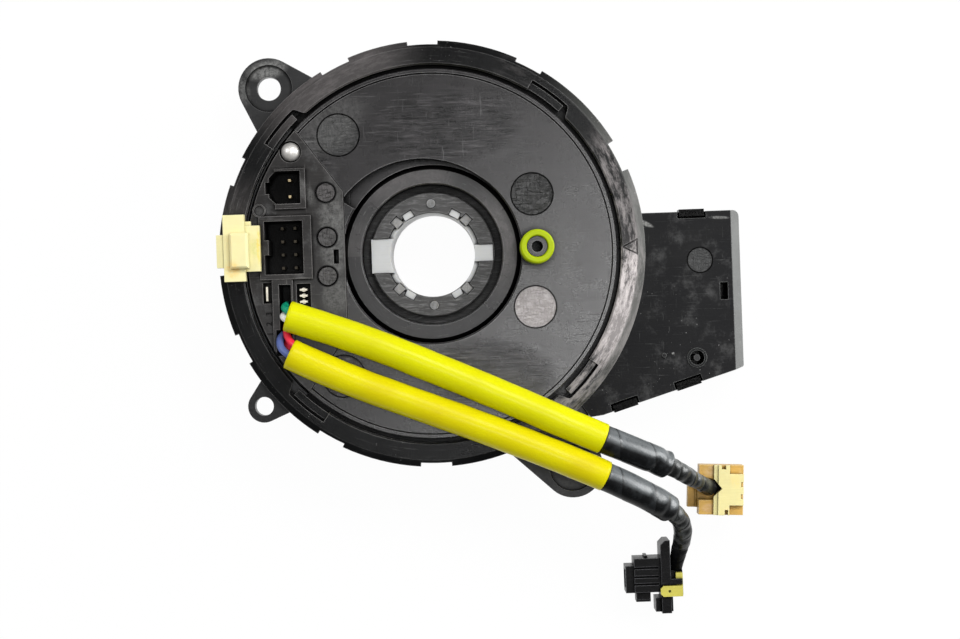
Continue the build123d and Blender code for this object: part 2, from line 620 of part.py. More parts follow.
def connector_block():
    """The rotor's connector block: plate to the rim, two keyed sockets, wire channel, terminal pockets,
    screw seat, stake seats and the transit lock's pocket."""
    plate = slab(block_outline() & Circle(BLOCK_R), BLOCK_LOW_Z, BLOCK_TOP_Z)
    made = plate + slab(small_body(0), SOCKET_LOW_Z, BLOCK_TOP_Z)
    made += slab(large_body(0), SOCKET_LOW_Z, FRAME_TOP_Z)
    made += slab(channel_body(0), SOCKET_LOW_Z, BLOCK_TOP_Z)
    x0, x1, y0, y1 = SMALL_SOCKET
    rim = rect(x0 + 1.5, x1 + FRAME_WALL, y0 - FRAME_WALL, y1 + 0.6)
    made += slab(rim, BLOCK_TOP_Z - 0.1, FRAME_TOP_Z)
    cx0, cx1, cy0, cy1 = CHANNEL
    wall = rect(cx0 - CHANNEL_WALL, cx1 + 0.5, cy0 - CHANNEL_WALL, cy1 + 1.4) & Circle(BLOCK_R)
    made += slab(wall, BLOCK_TOP_Z - 0.1, FRAME_TOP_Z - 0.2)
    px0, px1, py0, py1 = LOCK_POCKET
    seat = rect(px0 - 1.0, px1 + 1.2, py0 - 1.0, py1 + 1.0) & Circle(BLOCK_R)
    made += slab(seat, LOCK_POCKET_Z - 1.2, BLOCK_LOW_Z + 0.1)
    floor = SOCKET_LOW_Z + SOCKET_FLOOR
    made -= slab(small_cavity(), floor, FRAME_TOP_Z + 1)
    made -= slab(large_cavity(), floor, FRAME_TOP_Z + 1)
    made -= block(cx0, cx1, cy0, cy1, CHANNEL_LOW_Z, FRAME_TOP_Z + 1)
    made -= block(
        cx0 - CHANNEL_LEAN, cx1, cy0 - CHANNEL_WALL - 1, cy0 + CHANNEL_EXIT_LENGTH, CHANNEL_EXIT_Z,
        FRAME_TOP_Z + 1
    )
    right_pocket = rect(cx1 + 1.4, cx1 + 4.9, cy1 - 6.0, cy1 + 0.1)
    made -= slab(right_pocket, BLOCK_TOP_Z - TERMINAL_DEPTH, FRAME_TOP_Z + 1)
    left_pocket = rect(cx0 - CHANNEL_WALL - 2.3, cx0 - CHANNEL_WALL, cy1 - 4.6, cy1 + 0.6)
    made -= slab(left_pocket, BLOCK_TOP_Z - LEFT_TERMINAL_DEPTH, FRAME_TOP_Z + 1)
    made -= block(px0, px1, py0, py1, LOCK_POCKET_Z, FRAME_TOP_Z + 1)
    made -= post(*SCREW_AT, SCREW_HEAD_R + 0.35, BLOCK_TOP_Z - 1.2, FRAME_TOP_Z + 1)
    made -= post(*SCREW_AT, SCREW_R + PIN_GAP, BLOCK_LOW_Z - 1, BLOCK_TOP_Z + 1)
    x, y, r = BLOCK_DISC
    made += slab(Pos(x, y) * (Circle(r) - Circle(r - 0.45)), BLOCK_TOP_Z - 0.1, BLOCK_TOP_Z + 0.3)
    for x, y in STAKES:
        made -= post(x, y, STAKE_R + PIN_GAP, BLOCK_LOW_Z - 1, BLOCK_TOP_Z + 1)
        made -= post(x, y, STAKE_HEAD_R + PIN_GAP, BLOCK_TOP_Z - 0.2, BLOCK_TOP_Z + 1)
    return made - slab(cable_slot(), BLOCK_LOW_Z - 1, BLOCK_TOP_Z + 1)


def socket_pins(socket, along, rows, size):
    """Upright blades in a front socket, from its floor to well below its mouth."""
    x0, x1, y0, y1 = socket
    low = SOCKET_LOW_Z + SOCKET_FLOOR
    pins = []
    for i in range(rows):
        for j in range(along):
            x = x0 + (x1 - x0) * (i + 1) / (rows + 1) + BLADE_ASIDE
            y = y0 + (y1 - y0) * (j + 0.5) / along
            pins.append(slab(Pos(x, y) * Rectangle(size, size), low, low + BLADE_HEIGHT))
    return pins


def wire_terminals():
    """Bright crimp ends beside the wire channel: one blade on its left, three on its right."""
    cx0, cx1, cy0, cy1 = CHANNEL
    left_x = cx0 - CHANNEL_WALL - 1.3
    left = rect(left_x - 0.25, left_x + 0.25, cy1 - 4.0, cy1 - 0.4)
    made = [slab(left, BLOCK_TOP_Z - LEFT_TERMINAL_DEPTH, BLOCK_TOP_Z + 0.4)]
    for i in range(3):
        y = cy1 - 1.4 - TERMINAL_PITCH * i
        low = BLOCK_TOP_Z - TERMINAL_DEPTH
        fin = block(cx1 + 2.1, cx1 + 4.0, y - 0.25, y + 0.25, low, BLOCK_TOP_Z - 0.7)
        made.append(fin + post(cx1 + 3.0, y, 0.55, low, low + 1.6))
    return made


def block_screw():
    """Dome-headed screw that holds the connector block to the disc."""
    x, y = SCREW_AT
    seat = BLOCK_TOP_Z - 1.2
    rise = 1.5
    ball_r = (SCREW_HEAD_R ** 2 + rise ** 2) / (2 * rise)
    dome = Pos(x, y, seat + 0.4 + rise - ball_r) * Sphere(ball_r)
    head = dome & post(x, y, SCREW_HEAD_R + 1, seat + 0.4, seat + 5)
    head += post(x, y, SCREW_HEAD_R, seat, seat + 0.4)
    return head + post(x, y, SCREW_R - 0.15, seat - 5.5, seat + 0.1)


def rotor_drum():
    """The drum inside the collar: rounded front band, flange under the flat cable, rear journal, and the
    inner shelf that the hub plate sits on."""
    flange_top = COLLAR_LOW_Z
    flange_low = flange_top - DRUM_FLANGE
    shelf_low = SHELF_Z - SHELF_THICK
    return turned([
        (DRUM_BORE_R, DRUM_TOP_Z - 0.3), (DRUM_BORE_R + 0.3, DRUM_TOP_Z), (DRUM_R - 0.8, DRUM_TOP_Z),
        (DRUM_R, DRUM_TOP_Z - 0.8), (DRUM_R, flange_top), (DRUM_FLANGE_R, flange_top),
        (DRUM_FLANGE_R, flange_low), (JOURNAL_R, flange_low), (JOURNAL_R, DRUM_LOW_Z),
        (DRUM_BORE_R, DRUM_LOW_Z), (DRUM_BORE_R, shelf_low), (SHELF_BORE_R, shelf_low),
        (SHELF_BORE_R, SHELF_Z), (DRUM_BORE_R, SHELF_Z),
    ])


def hub_notches(margin):
    """Outlines of the cancelling cam's keys and tabs where they stand in the hub plate's bore."""
    reach, width = LEFT_TAB
    shapes = rect(-reach - margin, 0, -width / 2 - margin, width / 2 + margin)
    reach, width = RIGHT_TAB
    shapes += rect(0, reach + margin, -width / 2 - margin, width / 2 + margin)
    for angle in KEY_ANGLES:
        x, y = polar(angle, KEY_AT)
        size = KEY_SIZE + 2 * margin
        shapes += Pos(x, y) * Rot(0, 0, angle) * Rectangle(size, size)
    for angle in TAB_ANGLES:
        x, y = polar(angle, TAB_AT)
        size = (TAB_DEPTH + 2 * margin, TAB_LENGTH + 2 * margin)
        shapes += Pos(x, y) * Rot(0, 0, angle) * Rectangle(*size)
    return shapes


def hub_plate():
    """The black plate round the bore, notched for the cancelling cam and held by its two stakes."""
    plate = turned([
        (HUB_BORE_R, SHELF_Z), (DRUM_BORE_R - 0.05, SHELF_Z), (DRUM_BORE_R - 0.05, SHELF_Z + HUB_STEP),
        (HUB_R, SHELF_Z + HUB_STEP), (HUB_R, HUB_TOP_Z - 0.3), (HUB_R - 0.3, HUB_TOP_Z),
        (HUB_BORE_R, HUB_TOP_Z),
    ])
    for middle in (0, 180):
        wide = sector(HUB_BORE_R - 1, HUB_SIDE_R, middle, 180 - 2 * HUB_CAP_HALF)
        plate -= slab(wide, SHELF_Z - 1, HUB_TOP_Z + 1)
    plate -= slab(hub_notches(FIT_GAP) - Circle(HUB_BORE_R - 1), SHELF_Z - 1, HUB_TOP_Z + 1)
    for side in (-1, 1):
        plate -= post(0, side * CAM_STAKE_AT, CAM_STAKE_R + PIN_GAP, SHELF_Z - 1, HUB_TOP_Z + 1)
    return plate


def cancel_cam():
    """The white cancelling cam: bore round the shaft, flange under the hub plate, keys and tabs in its
    notches, two stakes, and two lobes at the rear."""
    flange_low = SHELF_Z - CAM_FLANGE
    cam = tube(BORE_R + CAM_WALL, BORE_R, CAM_LOW_Z, SHELF_Z)
    cam += tube(CAM_FLANGE_R, BORE_R, flange_low, SHELF_Z)
    collar = sector(BORE_R, HUB_SIDE_R - FIT_GAP, 0, 120) + sector(BORE_R, HUB_SIDE_R - FIT_GAP, 180, 120)
    cam += slab(collar, SHELF_Z - 0.1, HUB_TOP_Z - 1.3)
    cam += slab(hub_notches(0) - Circle(BORE_R), SHELF_Z + 0.05, HUB_TOP_Z - 0.4)
    keys = hub_notches(0) & Circle(CAM_FLANGE_R)
    cam += slab(keys - Circle(BORE_R), SHELF_Z - 0.2, SHELF_Z + 0.2)
    for side in (-1, 1):
        cam += post(0, side * CAM_STAKE_AT, CAM_STAKE_R, SHELF_Z - 0.5, HUB_TOP_Z + 0.25)
    for middle in (0, 180):
        cam += slab(sector(BORE_R + 0.5, LOBE_R, middle, LOBE_SPAN), CAM_LOW_Z, CAM_LOW_Z + 5)
    return cam


def drive_pin_sleeve():
    """The lime sleeve on the drive-pin post."""
    bore = PIN_POST_R + PIN_GAP
    face = Plane.XZ * make_face(Polyline(
        (bore, DISC_TOP_Z), (SLEEVE_PIN_R, DISC_TOP_Z), (SLEEVE_PIN_R, PIN_TOP_Z - 0.4),
        (SLEEVE_PIN_R - 0.4, PIN_TOP_Z), (bore + 0.3, PIN_TOP_Z), (bore, PIN_TOP_Z - 0.3), close=True,
    ))
    return Pos(PIN_X, PIN_Y, 0) * revolve(face, Axis.Z)


def inner_cable_end():
    """The moulded end of the flat cable on the drum, below the connector block."""
    r_in, r_out = INNER_END_R
    cable_top = CABLE_LOW_Z + CABLE_WIDTH
    stem = slab(sector(r_in, r_out, 180, INNER_END_SPAN), COLLAR_LOW_Z, cable_top + 1.6)
    hood = sector(r_in, r_out + 2.5, 180, INNER_END_SPAN * 0.7)
    return stem + slab(hood, cable_top + 0.3, cable_top + 1.6)


def transit_lock():
    """The pale clip that holds the rotor centred until it is fitted: stepped grip over the ring, arm over
    the block's edge, and a tongue down into its pocket."""
    x0, x1, y0, y1 = LOCK_BODY
    bulge_x, bulge_y0, bulge_y1 = LOCK_BULGE
    arm_x, arm_y0, arm_y1 = LOCK_ARM
    body = block(x0, x1, y0, y1, LOCK_Z, LOCK_BODY_TOP)
    body += block(bulge_x, x0 + 0.1, bulge_y0, bulge_y1, LOCK_Z, LOCK_BODY_TOP - 0.6)
    body += block(x1 - 0.1, arm_x, arm_y0, arm_y1, LOCK_Z, LOCK_ARM_TOP)
    body += block(x1 - 0.1, arm_x - 2.2, arm_y1 - 0.1, arm_y1 + 1.1, LOCK_Z, LOCK_ARM_TOP - 0.5)
    pad = block(x0 + 1.7, x1 + 1.0, bulge_y0 - 0.3, bulge_y1 + 0.3, LOCK_Z + 1, LOCK_PAD_TOP)
    body += chamfer(pad.edges().group_by(Axis.Z)[-1], 0.5)
    tx0, tx1, ty0, ty1 = TONGUE
    return body + block(tx0, tx1, ty0, ty1, TONGUE_LOW_Z, LOCK_Z + 0.1)


# --- Leads ---


def corner_radii(points):
    """The radius at each inner point of a route: 0.45 of the shorter run, over the tangent of half the
    turn."""
    radii = []
    for a, b, c in zip(points, points[1:], points[2:]):
        into, out = Vector(*b) - Vector(*a), Vector(*c) - Vector(*b)
        turn = radians(into.get_angle(out))
        radii.append(0.45 * min(into.length, out.length) / tan(turn / 2))
    return radii


def route(points):
    return Wire(FilletPolyline(*points, radius=corner_radii(points)).edges())


def along(wire, start, end, r_out, r_in=0.0):
    """A round tube, or rod, on part of a route."""
    length = wire.length
    part = wire.trim(max(0.0, start / length), min(1.0, end / length))
    plane = Plane(origin=part @ 0, z_dir=part % 0)
    solid = sweep(plane * Circle(r_out), path=part)
    if r_in:
        solid -= sweep(plane * Circle(r_in), path=part)
    return solid


def loose_wire(rise, across, above, mouth, heading):
    """One wire's route from the channel, up and over into a sleeve's mouth."""
    side = Vector(-heading.Y, heading.X, 0)
    end = mouth + heading * (BUNDLE_INSET - WIRE_END_GAP) + side * across + Vector(0, 0, above)
    near = mouth - heading * 1.5 + side * across + Vector(0, 0, above - 0.4)
    return rise + [tuple(near), tuple(end)]


# --- Plugs ---


def ivory_place():
    return Pos(IVORY_AT[0], IVORY_AT[1], 0) * Rot(0, 0, IVORY_TURN)


def ivory_plug():
    """The ivory plug: round mating nose down, square head with a cable channel, side latch."""
    width, height = IVORY_BODY
    half_x, half_y = width / 2, height / 2
    nose = post(0, 0, IVORY_NOSE_R, IVORY_LOW_Z, IVORY_HEAD_Z)
    nose -= post(0, 0, IVORY_NOSE_R - 1.3, IVORY_LOW_Z - 1, IVORY_LOW_Z + 5.4)
    head = block(-half_x, half_x, -half_y, half_y, IVORY_HEAD_Z - 0.1, IVORY_TOP_Z)
    channel = rect(-half_x - 1, 0.6, -IVORY_CHANNEL / 2, IVORY_CHANNEL / 2)
    latch = block(-half_x - 2.4, -half_x + 0.1, -4.9, 1.1, IVORY_HEAD_Z - 3.4, IVORY_HEAD_Z - 0.4)
    latch += block(-half_x - 0.5, -half_x + 1.2, -4.9, 1.1, IVORY_HEAD_Z - 3.4, IVORY_HEAD_Z)
    plug = nose + head + latch - slab(channel, IVORY_HEAD_Z + 1, IVORY_TOP_Z + 1)
    return ivory_place() * plug - cable_seat(UPPER_PATH)


def ivory_lid():
    """The pale snap lid on the ivory plug: castle edges, stepped wings and a pointed cable mouth."""
    width, height = IVORY_BODY
    half_x, half_y = width / 2, height / 2
    left, right = -half_x + 3.7, half_x - 3.7
    outline = rect(left, right, -half_y, half_y) + rect(0, half_x - 0.1, -half_y + 2.6, half_y - 2.2)
    outline -= rect(left + 1.9, left + 3.0, half_y - 1.0, half_y + 1)
    outline -= rect(right - 1.2, right - 0.3, -half_y - 1, -half_y + 1.4)
    outline -= rect(half_x - 0.8, half_x + 1, 0.9, 2.2)
    outline -= rect(half_x - 0.8, half_x + 1, -2.2, -0.9)
    mouth = make_face(Polyline((left - 0.1, 3.0), (0.1, 0.4), (left - 0.1, -1.8), close=True))
    lid = slab(outline - mouth, IVORY_TOP_Z, IVORY_LID_Z)
    step = rect(left - 1, left + 1.1, -half_y - 1, half_y + 1) - mouth
    lid -= slab(step, IVORY_LID_Z - 0.6, IVORY_LID_Z + 1)
    return ivory_place() * lid - cable_seat(UPPER_PATH)


def cable_seat(points):
    """The hollow that a cable's last stretch fills in its plug."""
    wire = route(points)
    return along(wire, wire.length - 8, wire.length, BUNDLE_R + WRAP_GAP)


def black_plug():
    """The black plug, lying with its mating nose to -X: collar, grooved nose, step, head plate, foot and
    the boss that the cable enters."""
    x, y, z = BLACK_AT
    deep, tall, high = BLACK_HEAD
    top = z + high / 2
    head = block(x, x + deep, y - tall / 2, y + tall / 2, z - high / 2, top)
    head = chamfer(head.edges().filter_by(Axis.Z).group_by(Axis.X)[0].sort_by(Axis.Y)[-1], 1.2)
    nose = block(x - 6.9, x + 0.1, y - 3.9, y + 4.9, z - 4.6, z + 4.6)
    for side in (-1.8, 0.1, 2.4):
        nose -= block(x - 8, x - 0.6, y + side - 0.25, y + side + 0.25, z + 4.2, z + 5)
    nose += block(x - 4.1, x - 3.3, y + 4.8, y + 5.5, z - 3.4, z + 3.4)
    collar = block(x - 9.1, x - 6.8, y - 4.0, y + 3.0, z - 4.0, z + 4.0)
    step = block(x - 6.4, x - 2.7, y - 6.6, y - 3.8, z - 3.4, z + 2.6)
    step = chamfer(step.edges().filter_by(Axis.X).group_by(Axis.Y)[0], 0.6)
    foot = block(x - 1.5, x + deep + 0.5, y - 9.1, y - 5.5, z - 4.4, z + 3.6)
    boss = block(x + deep - 0.1, x + deep + 3.4, y - 3.5, y + 3.2, z - 4.3, z + 0.9)
    plug = head + nose + collar + step + foot + boss
    plug -= block(x - 10, x - 5.4, y - 2.9, y + 1.9, z - 2.7, z + 2.7)
    plug -= block(x + deep - 1.0, x + deep + 1, y - 5.2, y + 2.2, z + LOCK_THUMB_Z - 0.2, z + 3.9)
    plug -= block(x + deep - 1.0, x + deep + 1, y - 5.2, y - 2.05, z + LOCK_THUMB_Z - 0.2, top + 1)
    plug -= block(x - 1, x + deep + 1, y - 5.2, y - 2.05, z + 4.6, top + 1)
    plug += block(x + deep - 0.1, x + deep + 3.0, y - 1.95, y - 0.55, z + 4.0, top)
    return plug - cable_seat(LOWER_PATH)


def plug_lock():
    """The yellow position lock of the black plug: a pad on the nose's top, and a thumb plate behind."""
    x, y, z = BLACK_AT
    back = x + BLACK_HEAD[0]
    pad = block(x - 0.3, back + 2.9, y - 5.0, y - 2.25, z + 4.8, z + 6.2)
    pad = chamfer(pad.edges().filter_by(Axis.Z).group_by(Axis.X)[0], 0.7)
    pad -= post(x + 2.0, y - 3.6, 0.35, z + 5.6, z + 7)
    thumb = block(back + 1.4, back + 3.2, y - 5.0, y + 0.8, z + LOCK_THUMB_Z, z + 3.7)
    return pad + thumb + block(back + 1.4, back + 2.9, y - 5.0, y - 2.25, z + LOCK_THUMB_Z, z + 6.2)


# --- Build ---


def as_solids(shape):
    if isinstance(shape, list):
        return Compound(children=shape)
    solids = shape.solids()
    return solids[0] if len(solids) == 1 else Compound(children=list(solids))


def leads():
    """Both leads: bundle, sleeve, tape and loose wires of each."""
    made = {}
    plans = [
        ("upper", UPPER_PATH, UPPER_TAPE_LENGTH, UPPER_WIRES),
        ("lower", LOWER_PATH, LOWER_TAPE_LENGTH, LOWER_WIRES),
    ]
    for name, points, tape_length, wires in plans:
        wire = route(points)
        tape_end = SLEEVE_LENGTH + tape_length
        made[f"{name}_bundle"] = along(wire, BUNDLE_INSET, wire.length, BUNDLE_R)
        made[f"{name}_sleeve"] = along(wire, 0, SLEEVE_LENGTH, SLEEVE_R, SLEEVE_BORE_R)
        made[f"{name}_tape"] = along(wire, SLEEVE_LENGTH, tape_end, TAPE_R, BUNDLE_R + WRAP_GAP)
        print(name, "length", round(wire.length, 1), "radii", [round(r, 1) for r in corner_radii(points)])
        for wire_name, (rise, across, above) in wires.items():
            path = loose_wire(rise, across, above, wire @ 0, wire % 0)
            made[wire_name] = along(route(path), 0, 1000, WIRE_R)
            print(wire_name, "radii", [round(r, 1) for r in corner_radii(path)])
    return made


def build():
    nodes = {
        "case_body": case_body(),
        "top_ring": top_ring(),
        "rear_cover": rear_cover(),
        "wing_lid": wing_lid(),
        "terminal_carrier": terminal_carrier(),
        "wing_pins_long": wing_pins(WING_SOCKETS[0]),
        "wing_pins_short": wing_pins(WING_SOCKETS[1]),
        "flat_cable": flat_cable(),
        "rotor_disc": rotor_disc(),
        "connector_block": connector_block(),
        "block_screw": block_screw(),
        "small_socket_pins": socket_pins(SMALL_SOCKET, 2, 1, 0.7),
        "large_socket_pins": socket_pins(LARGE_SOCKET, 4, 2, 0.7),
        "wire_terminals": wire_terminals(),
        "rotor_drum": rotor_drum(),
        "hub_plate": hub_plate(),
        "cancel_cam": cancel_cam(),
        "drive_pin_sleeve": drive_pin_sleeve(),
        "inner_cable_end": inner_cable_end(),
        "transit_lock": transit_lock(),
        "ivory_plug": ivory_plug(),
        "ivory_lid": ivory_lid(),
        "black_plug": black_plug(),
        "plug_lock": plug_lock(),
    }
    nodes.update(leads())
    return nodes


os.makedirs("parts", exist_ok=True)
for node, shape in build().items():
    export_step(as_solids(shape), f"parts/{node}.step")
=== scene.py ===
import math

import bpy
import numpy as np
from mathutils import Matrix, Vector


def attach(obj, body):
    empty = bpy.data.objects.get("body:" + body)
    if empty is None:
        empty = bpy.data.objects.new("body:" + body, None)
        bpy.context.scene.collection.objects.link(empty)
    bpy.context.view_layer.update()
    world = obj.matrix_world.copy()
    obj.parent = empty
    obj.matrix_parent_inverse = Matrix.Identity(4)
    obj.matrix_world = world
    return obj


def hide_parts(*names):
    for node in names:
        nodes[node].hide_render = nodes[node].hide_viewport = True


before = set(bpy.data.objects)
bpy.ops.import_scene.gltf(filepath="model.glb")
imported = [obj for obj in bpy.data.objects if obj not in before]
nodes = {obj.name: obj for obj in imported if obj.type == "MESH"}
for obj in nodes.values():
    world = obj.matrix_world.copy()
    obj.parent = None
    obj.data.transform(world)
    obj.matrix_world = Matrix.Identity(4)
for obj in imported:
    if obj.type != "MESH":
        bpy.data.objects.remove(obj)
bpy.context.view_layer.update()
print("frame loaded:", len(nodes), "nodes")

mm = 0.001


def setInputs(tree, node, values):
    # links a socket, or sets a plain value on the node's own socket
    for name, value in values.items():
        socket = node.inputs[name]
        if isinstance(value, bpy.types.NodeSocket):
            tree.links.new(value, socket)
        else:
            socket.default_value = value


def addNode(tree, kind, values=None, **settings):
    # one shader node: settings are its properties, values its input sockets
    node = tree.nodes.new(kind)
    for name, value in settings.items():
        setattr(node, name, value)
    setInputs(tree, node, values or {})
    return node


def maths(tree, operation, first, second=0.0, third=0.0, clamp=False):
    values = {0: first, 1: second, 2: third}
    return addNode(tree, "ShaderNodeMath", values, operation=operation, use_clamp=clamp).outputs[0]


def product(tree, *factors):
    result = factors[0]
    for factor in factors[1:]:
        result = maths(tree, "MULTIPLY", result, factor)
    return result


def vectorMaths(tree, operation, *vectors):
    return addNode(tree, "ShaderNodeVectorMath", dict(enumerate(vectors)), operation=operation).outputs


def axes(tree, place):
    return addNode(tree, "ShaderNodeSeparateXYZ", {0: place}).outputs


def spread(tree, value, low, high, outLow=0.0, outHigh=1.0, smooth=False):
    # value from low..high to outLow..outHigh, held at the ends
    ends = {"Value": value, "From Min": low, "From Max": high, "To Min": outLow, "To Max": outHigh}
    kind = "SMOOTHSTEP" if smooth else "LINEAR"
    return addNode(tree, "ShaderNodeMapRange", ends, interpolation_type=kind, clamp=True).outputs["Result"]


def asColour(value):
    # a socket as it is, a grey from one number or a colour from three
    if isinstance(value, bpy.types.NodeSocket):
        return value
    return (*np.broadcast_to(value, 3), 1.0)


def blendColour(tree, share, first, second, how="MIX"):
    # a colour mix has its share in socket 0, its colours in 6 and 7 and its result in output 2
    values = {0: share, 6: asColour(first), 7: asColour(second)}
    return addNode(tree, "ShaderNodeMix", values, data_type="RGBA", blend_type=how).outputs[2]


def noise(tree, place, look):
    # noise with features about look["size"] mm across
    if "stretch" in look:
        place = addNode(tree, "ShaderNodeMapping", {"Vector": place, "Scale": look["stretch"]}).outputs[0]
    values = {"Vector": place, "Scale": 1.0 / (look["size"] * mm), "Detail": look.get("detail", 2.0),
              "Roughness": look.get("roughness", 0.5)}
    return addNode(tree, "ShaderNodeTexNoise", values).outputs["Fac"]


def pattern(tree, place, look, outLow=0.0, outHigh=1.0):
    # the same noise, with the span of it that look names spread from outLow to outHigh
    return spread(tree, noise(tree, place, look), *look["span"], outLow, outHigh, look.get("smooth", False))


def newMaterial(name):
    # a material with its nodes, its shader and the place on the piece that its patterns read
    material = bpy.data.materials.new(name)
    material.use_nodes = True
    tree = material.node_tree
    shader = tree.nodes["Principled BSDF"]
    place = addNode(tree, "ShaderNodeTexCoord").outputs["Object"]
    return material, tree, shader, place


def roundedNormal(tree, radius):
    return addNode(tree, "ShaderNodeBevel", {"Radius": radius * mm}, samples=4).outputs[0]


def addBump(tree, shader, strength, depth, height, rounding=None):
    # relief from height, depth in mm, on edges rounded by rounding mm
    values = {"Strength": strength, "Distance": depth * mm, "Height": height}
    if rounding:
        values["Normal"] = roundedNormal(tree, rounding)
    bump = addNode(tree, "ShaderNodeBump", values)
    tree.links.new(bump.outputs[0], shader.inputs["Normal"])


def lightInside(tree, shader, weight, depths):
    # light that enters the plastic and comes out again; depths for red, green and blue in mm
    radius = tuple(depth * mm for depth in depths)
    setInputs(tree, shader, {"Subsurface Weight": weight, "Subsurface Radius": radius,
                             "Subsurface Scale": 1.0})


# moulded plastic: lengths in mm, colours (one number is a grey), shares of a colour, factors of a relief
plasticLook = dict(
    turnRadius=50.0, swirlBend=2.0, bendSize=6.0, edgeRadius=0.36, cornerRadius=0.14, outlineShadeHalf=(0.24, 0.10),
    fadeSpan=(-40.0, 65.0), fadeSlope=1.1, rimSheenBlend=0.5, stripSheenBlend=0.25, lightDepths=(1.2, 1.0, 0.6),
    scuffAndSheenColour=(0.56, 0.515, 0.51), rimSheenColour=(0.085, 0.087, 0.082), smearAndSheenColour=(0.30, 0.30, 0.29),
    dustColour=(0.45, 0.45, 0.44), outlineShadeColour=0.002, deepShadeColour=0.003,
    cloudShare=0.55, hairShare=0.4, rimSheenShare=0.80, deepShadeShare=0.9, hairRough=0.25,
    hairRelief=-0.6, swirlRelief=2.0, rubRelief=5.0, markRelief=-4.0, bump=0.6,
    # wear of the edges, partly painted highlight: span of the mottling, then how much of it is left; a black
    # mark loses markDull of its gloss, and one as pale as markGloss none; rubTones: span of the noise, share,
    # times the colour
    wearPatches=(0.30, 0.66, 0.35, 1.0), seamGloss=0.10, deepGloss=0.25, markBlend=0.1, markDull=0.75,
    markGloss=0.06, rubTones=((0.53, 0.63, 0.75, 3.4), (0.49, 0.40, 0.95, 0.10)),
)
# its patterns: size in mm, detail, roughness and stretch of the noise, and the span of it that is used
plasticPatterns = dict(
    mottle=dict(size=9.0, detail=4.0, roughness=0.62),
    hairs=dict(size=3.0, detail=4.0, roughness=0.7, stretch=(0.35, 7.0, 1.0), span=(0.61, 0.69)),
    crossHairs=dict(size=3.0, detail=4.0, roughness=0.7, stretch=(6.0, 0.45, 1.0), span=(0.63, 0.71)),
    hairPatches=dict(size=22.0, span=(0.40, 0.64)),
    clouds=dict(size=7.0, detail=6.0, roughness=0.72, span=(0.50, 0.74), smooth=True),
    swirls=dict(size=0.9, detail=5.0, roughness=0.75, stretch=(0.22, 2.4, 1.0), span=(0.50, 0.68)),
    scuffsAndSheen=dict(size=2.4, detail=8.0, roughness=0.80, stretch=(0.34, 1.25, 1.0), span=(0.45, 0.60)),
    rubs=dict(size=1.9, detail=6.0, roughness=0.74, stretch=(0.26, 2.0, 1.0)),
    strokes=dict(size=1.1, detail=5.0, roughness=0.8, stretch=(0.5, 3.0, 1.0), span=(0.50, 0.66)),
    crossStrokes=dict(size=1.1, detail=5.0, roughness=0.8, stretch=(3.4, 0.45, 1.0), span=(0.50, 0.66)),
    smearsAndPaintedLight=dict(size=1.0, detail=6.0, roughness=0.78, span=(0.34, 0.60)),
    dust=dict(size=0.55, detail=1.0, span=(0.735, 0.76)),
    dustPatches=dict(size=12.0, span=(0.44, 0.60)),
)
noiseMiddle = (0.3, 0.7)  # nearly all of a noise's values lie between these
# where the masks begin and end: lean of an edge, openness of a seam, upward tilt, the full share of an arc,
# and the reach of patches, 1 at their outline
maskSpans = dict(edge=(0.998, 0.80), seamShade=(0.45, 0.93), upward=(0.30, 0.75), arc=0.35,
                 rub=(1.0, 0.55), smear=(1.0, 0.45))


def edgeMask(tree, radius):
    # 0 on a face, rising to 1 on its edges: the rounded normal leans away from the true one
    true = addNode(tree, "ShaderNodeNewGeometry").outputs["Normal"]
    lean = vectorMaths(tree, "DOT_PRODUCT", roundedNormal(tree, radius), true)["Value"]
    return spread(tree, lean, *maskSpans["edge"])


def seamOpen(tree, reach):
    # 0 in a seam or an inner corner, 1 in the open
    shade = addNode(tree, "ShaderNodeAmbientOcclusion", {"Distance": reach * mm}, samples=8).outputs["AO"]
    return spread(tree, shade, *maskSpans["seamShade"])


def roundPlace(tree, place):
    # (distance round the steering axis, radius, height), so that a stretched pattern runs round it
    parts = axes(tree, place)
    angle = maths(tree, "ARCTAN2", parts["Y"], parts["X"])
    squares = maths(tree, "MULTIPLY_ADD", parts["X"], parts["X"], product(tree, parts["Y"], parts["Y"]))
    radius = maths(tree, "SQRT", squares)
    arc = product(tree, angle, plasticLook["turnRadius"] * mm)
    joined = addNode(tree, "ShaderNodeCombineXYZ", {0: arc, 1: radius, 2: parts["Z"]})
    return joined.outputs[0], angle, radius


def flatReach(tree, place, x, y, longHalf, wideHalf, turn=0.0):
    # distance from (x, y) seen from above, 1 on an ellipse with the given half sizes
    values = {"Vector": place, "Location": (x * mm, y * mm, 0.0), "Rotation": (0.0, 0.0, math.radians(turn)),
              "Scale": (longHalf * mm, wideHalf * mm, 1.0)}
    local = addNode(tree, "ShaderNodeMapping", values, vector_type="TEXTURE").outputs[0]
    flat = vectorMaths(tree, "MULTIPLY", local, (1.0, 1.0, 0.0))[0]
    return vectorMaths(tree, "LENGTH", flat)["Value"]


def zoneMask(tree, angle, centre, half):
    # 1 over an arc round the steering axis, fading out at both ends
    away = maths(tree, "ABSOLUTE", maths(tree, "SUBTRACT", angle, math.radians(centre)))
    return spread(tree, away, math.radians(half), math.radians(maskSpans["arc"] * half), smooth=True)


def upwardMask(tree):
    # 1 on faces that look up along the part's own axis, 0 on its walls
    normal = axes(tree, addNode(tree, "ShaderNodeTexCoord").outputs["Normal"])
    return spread(tree, normal["Z"], *maskSpans["upward"])


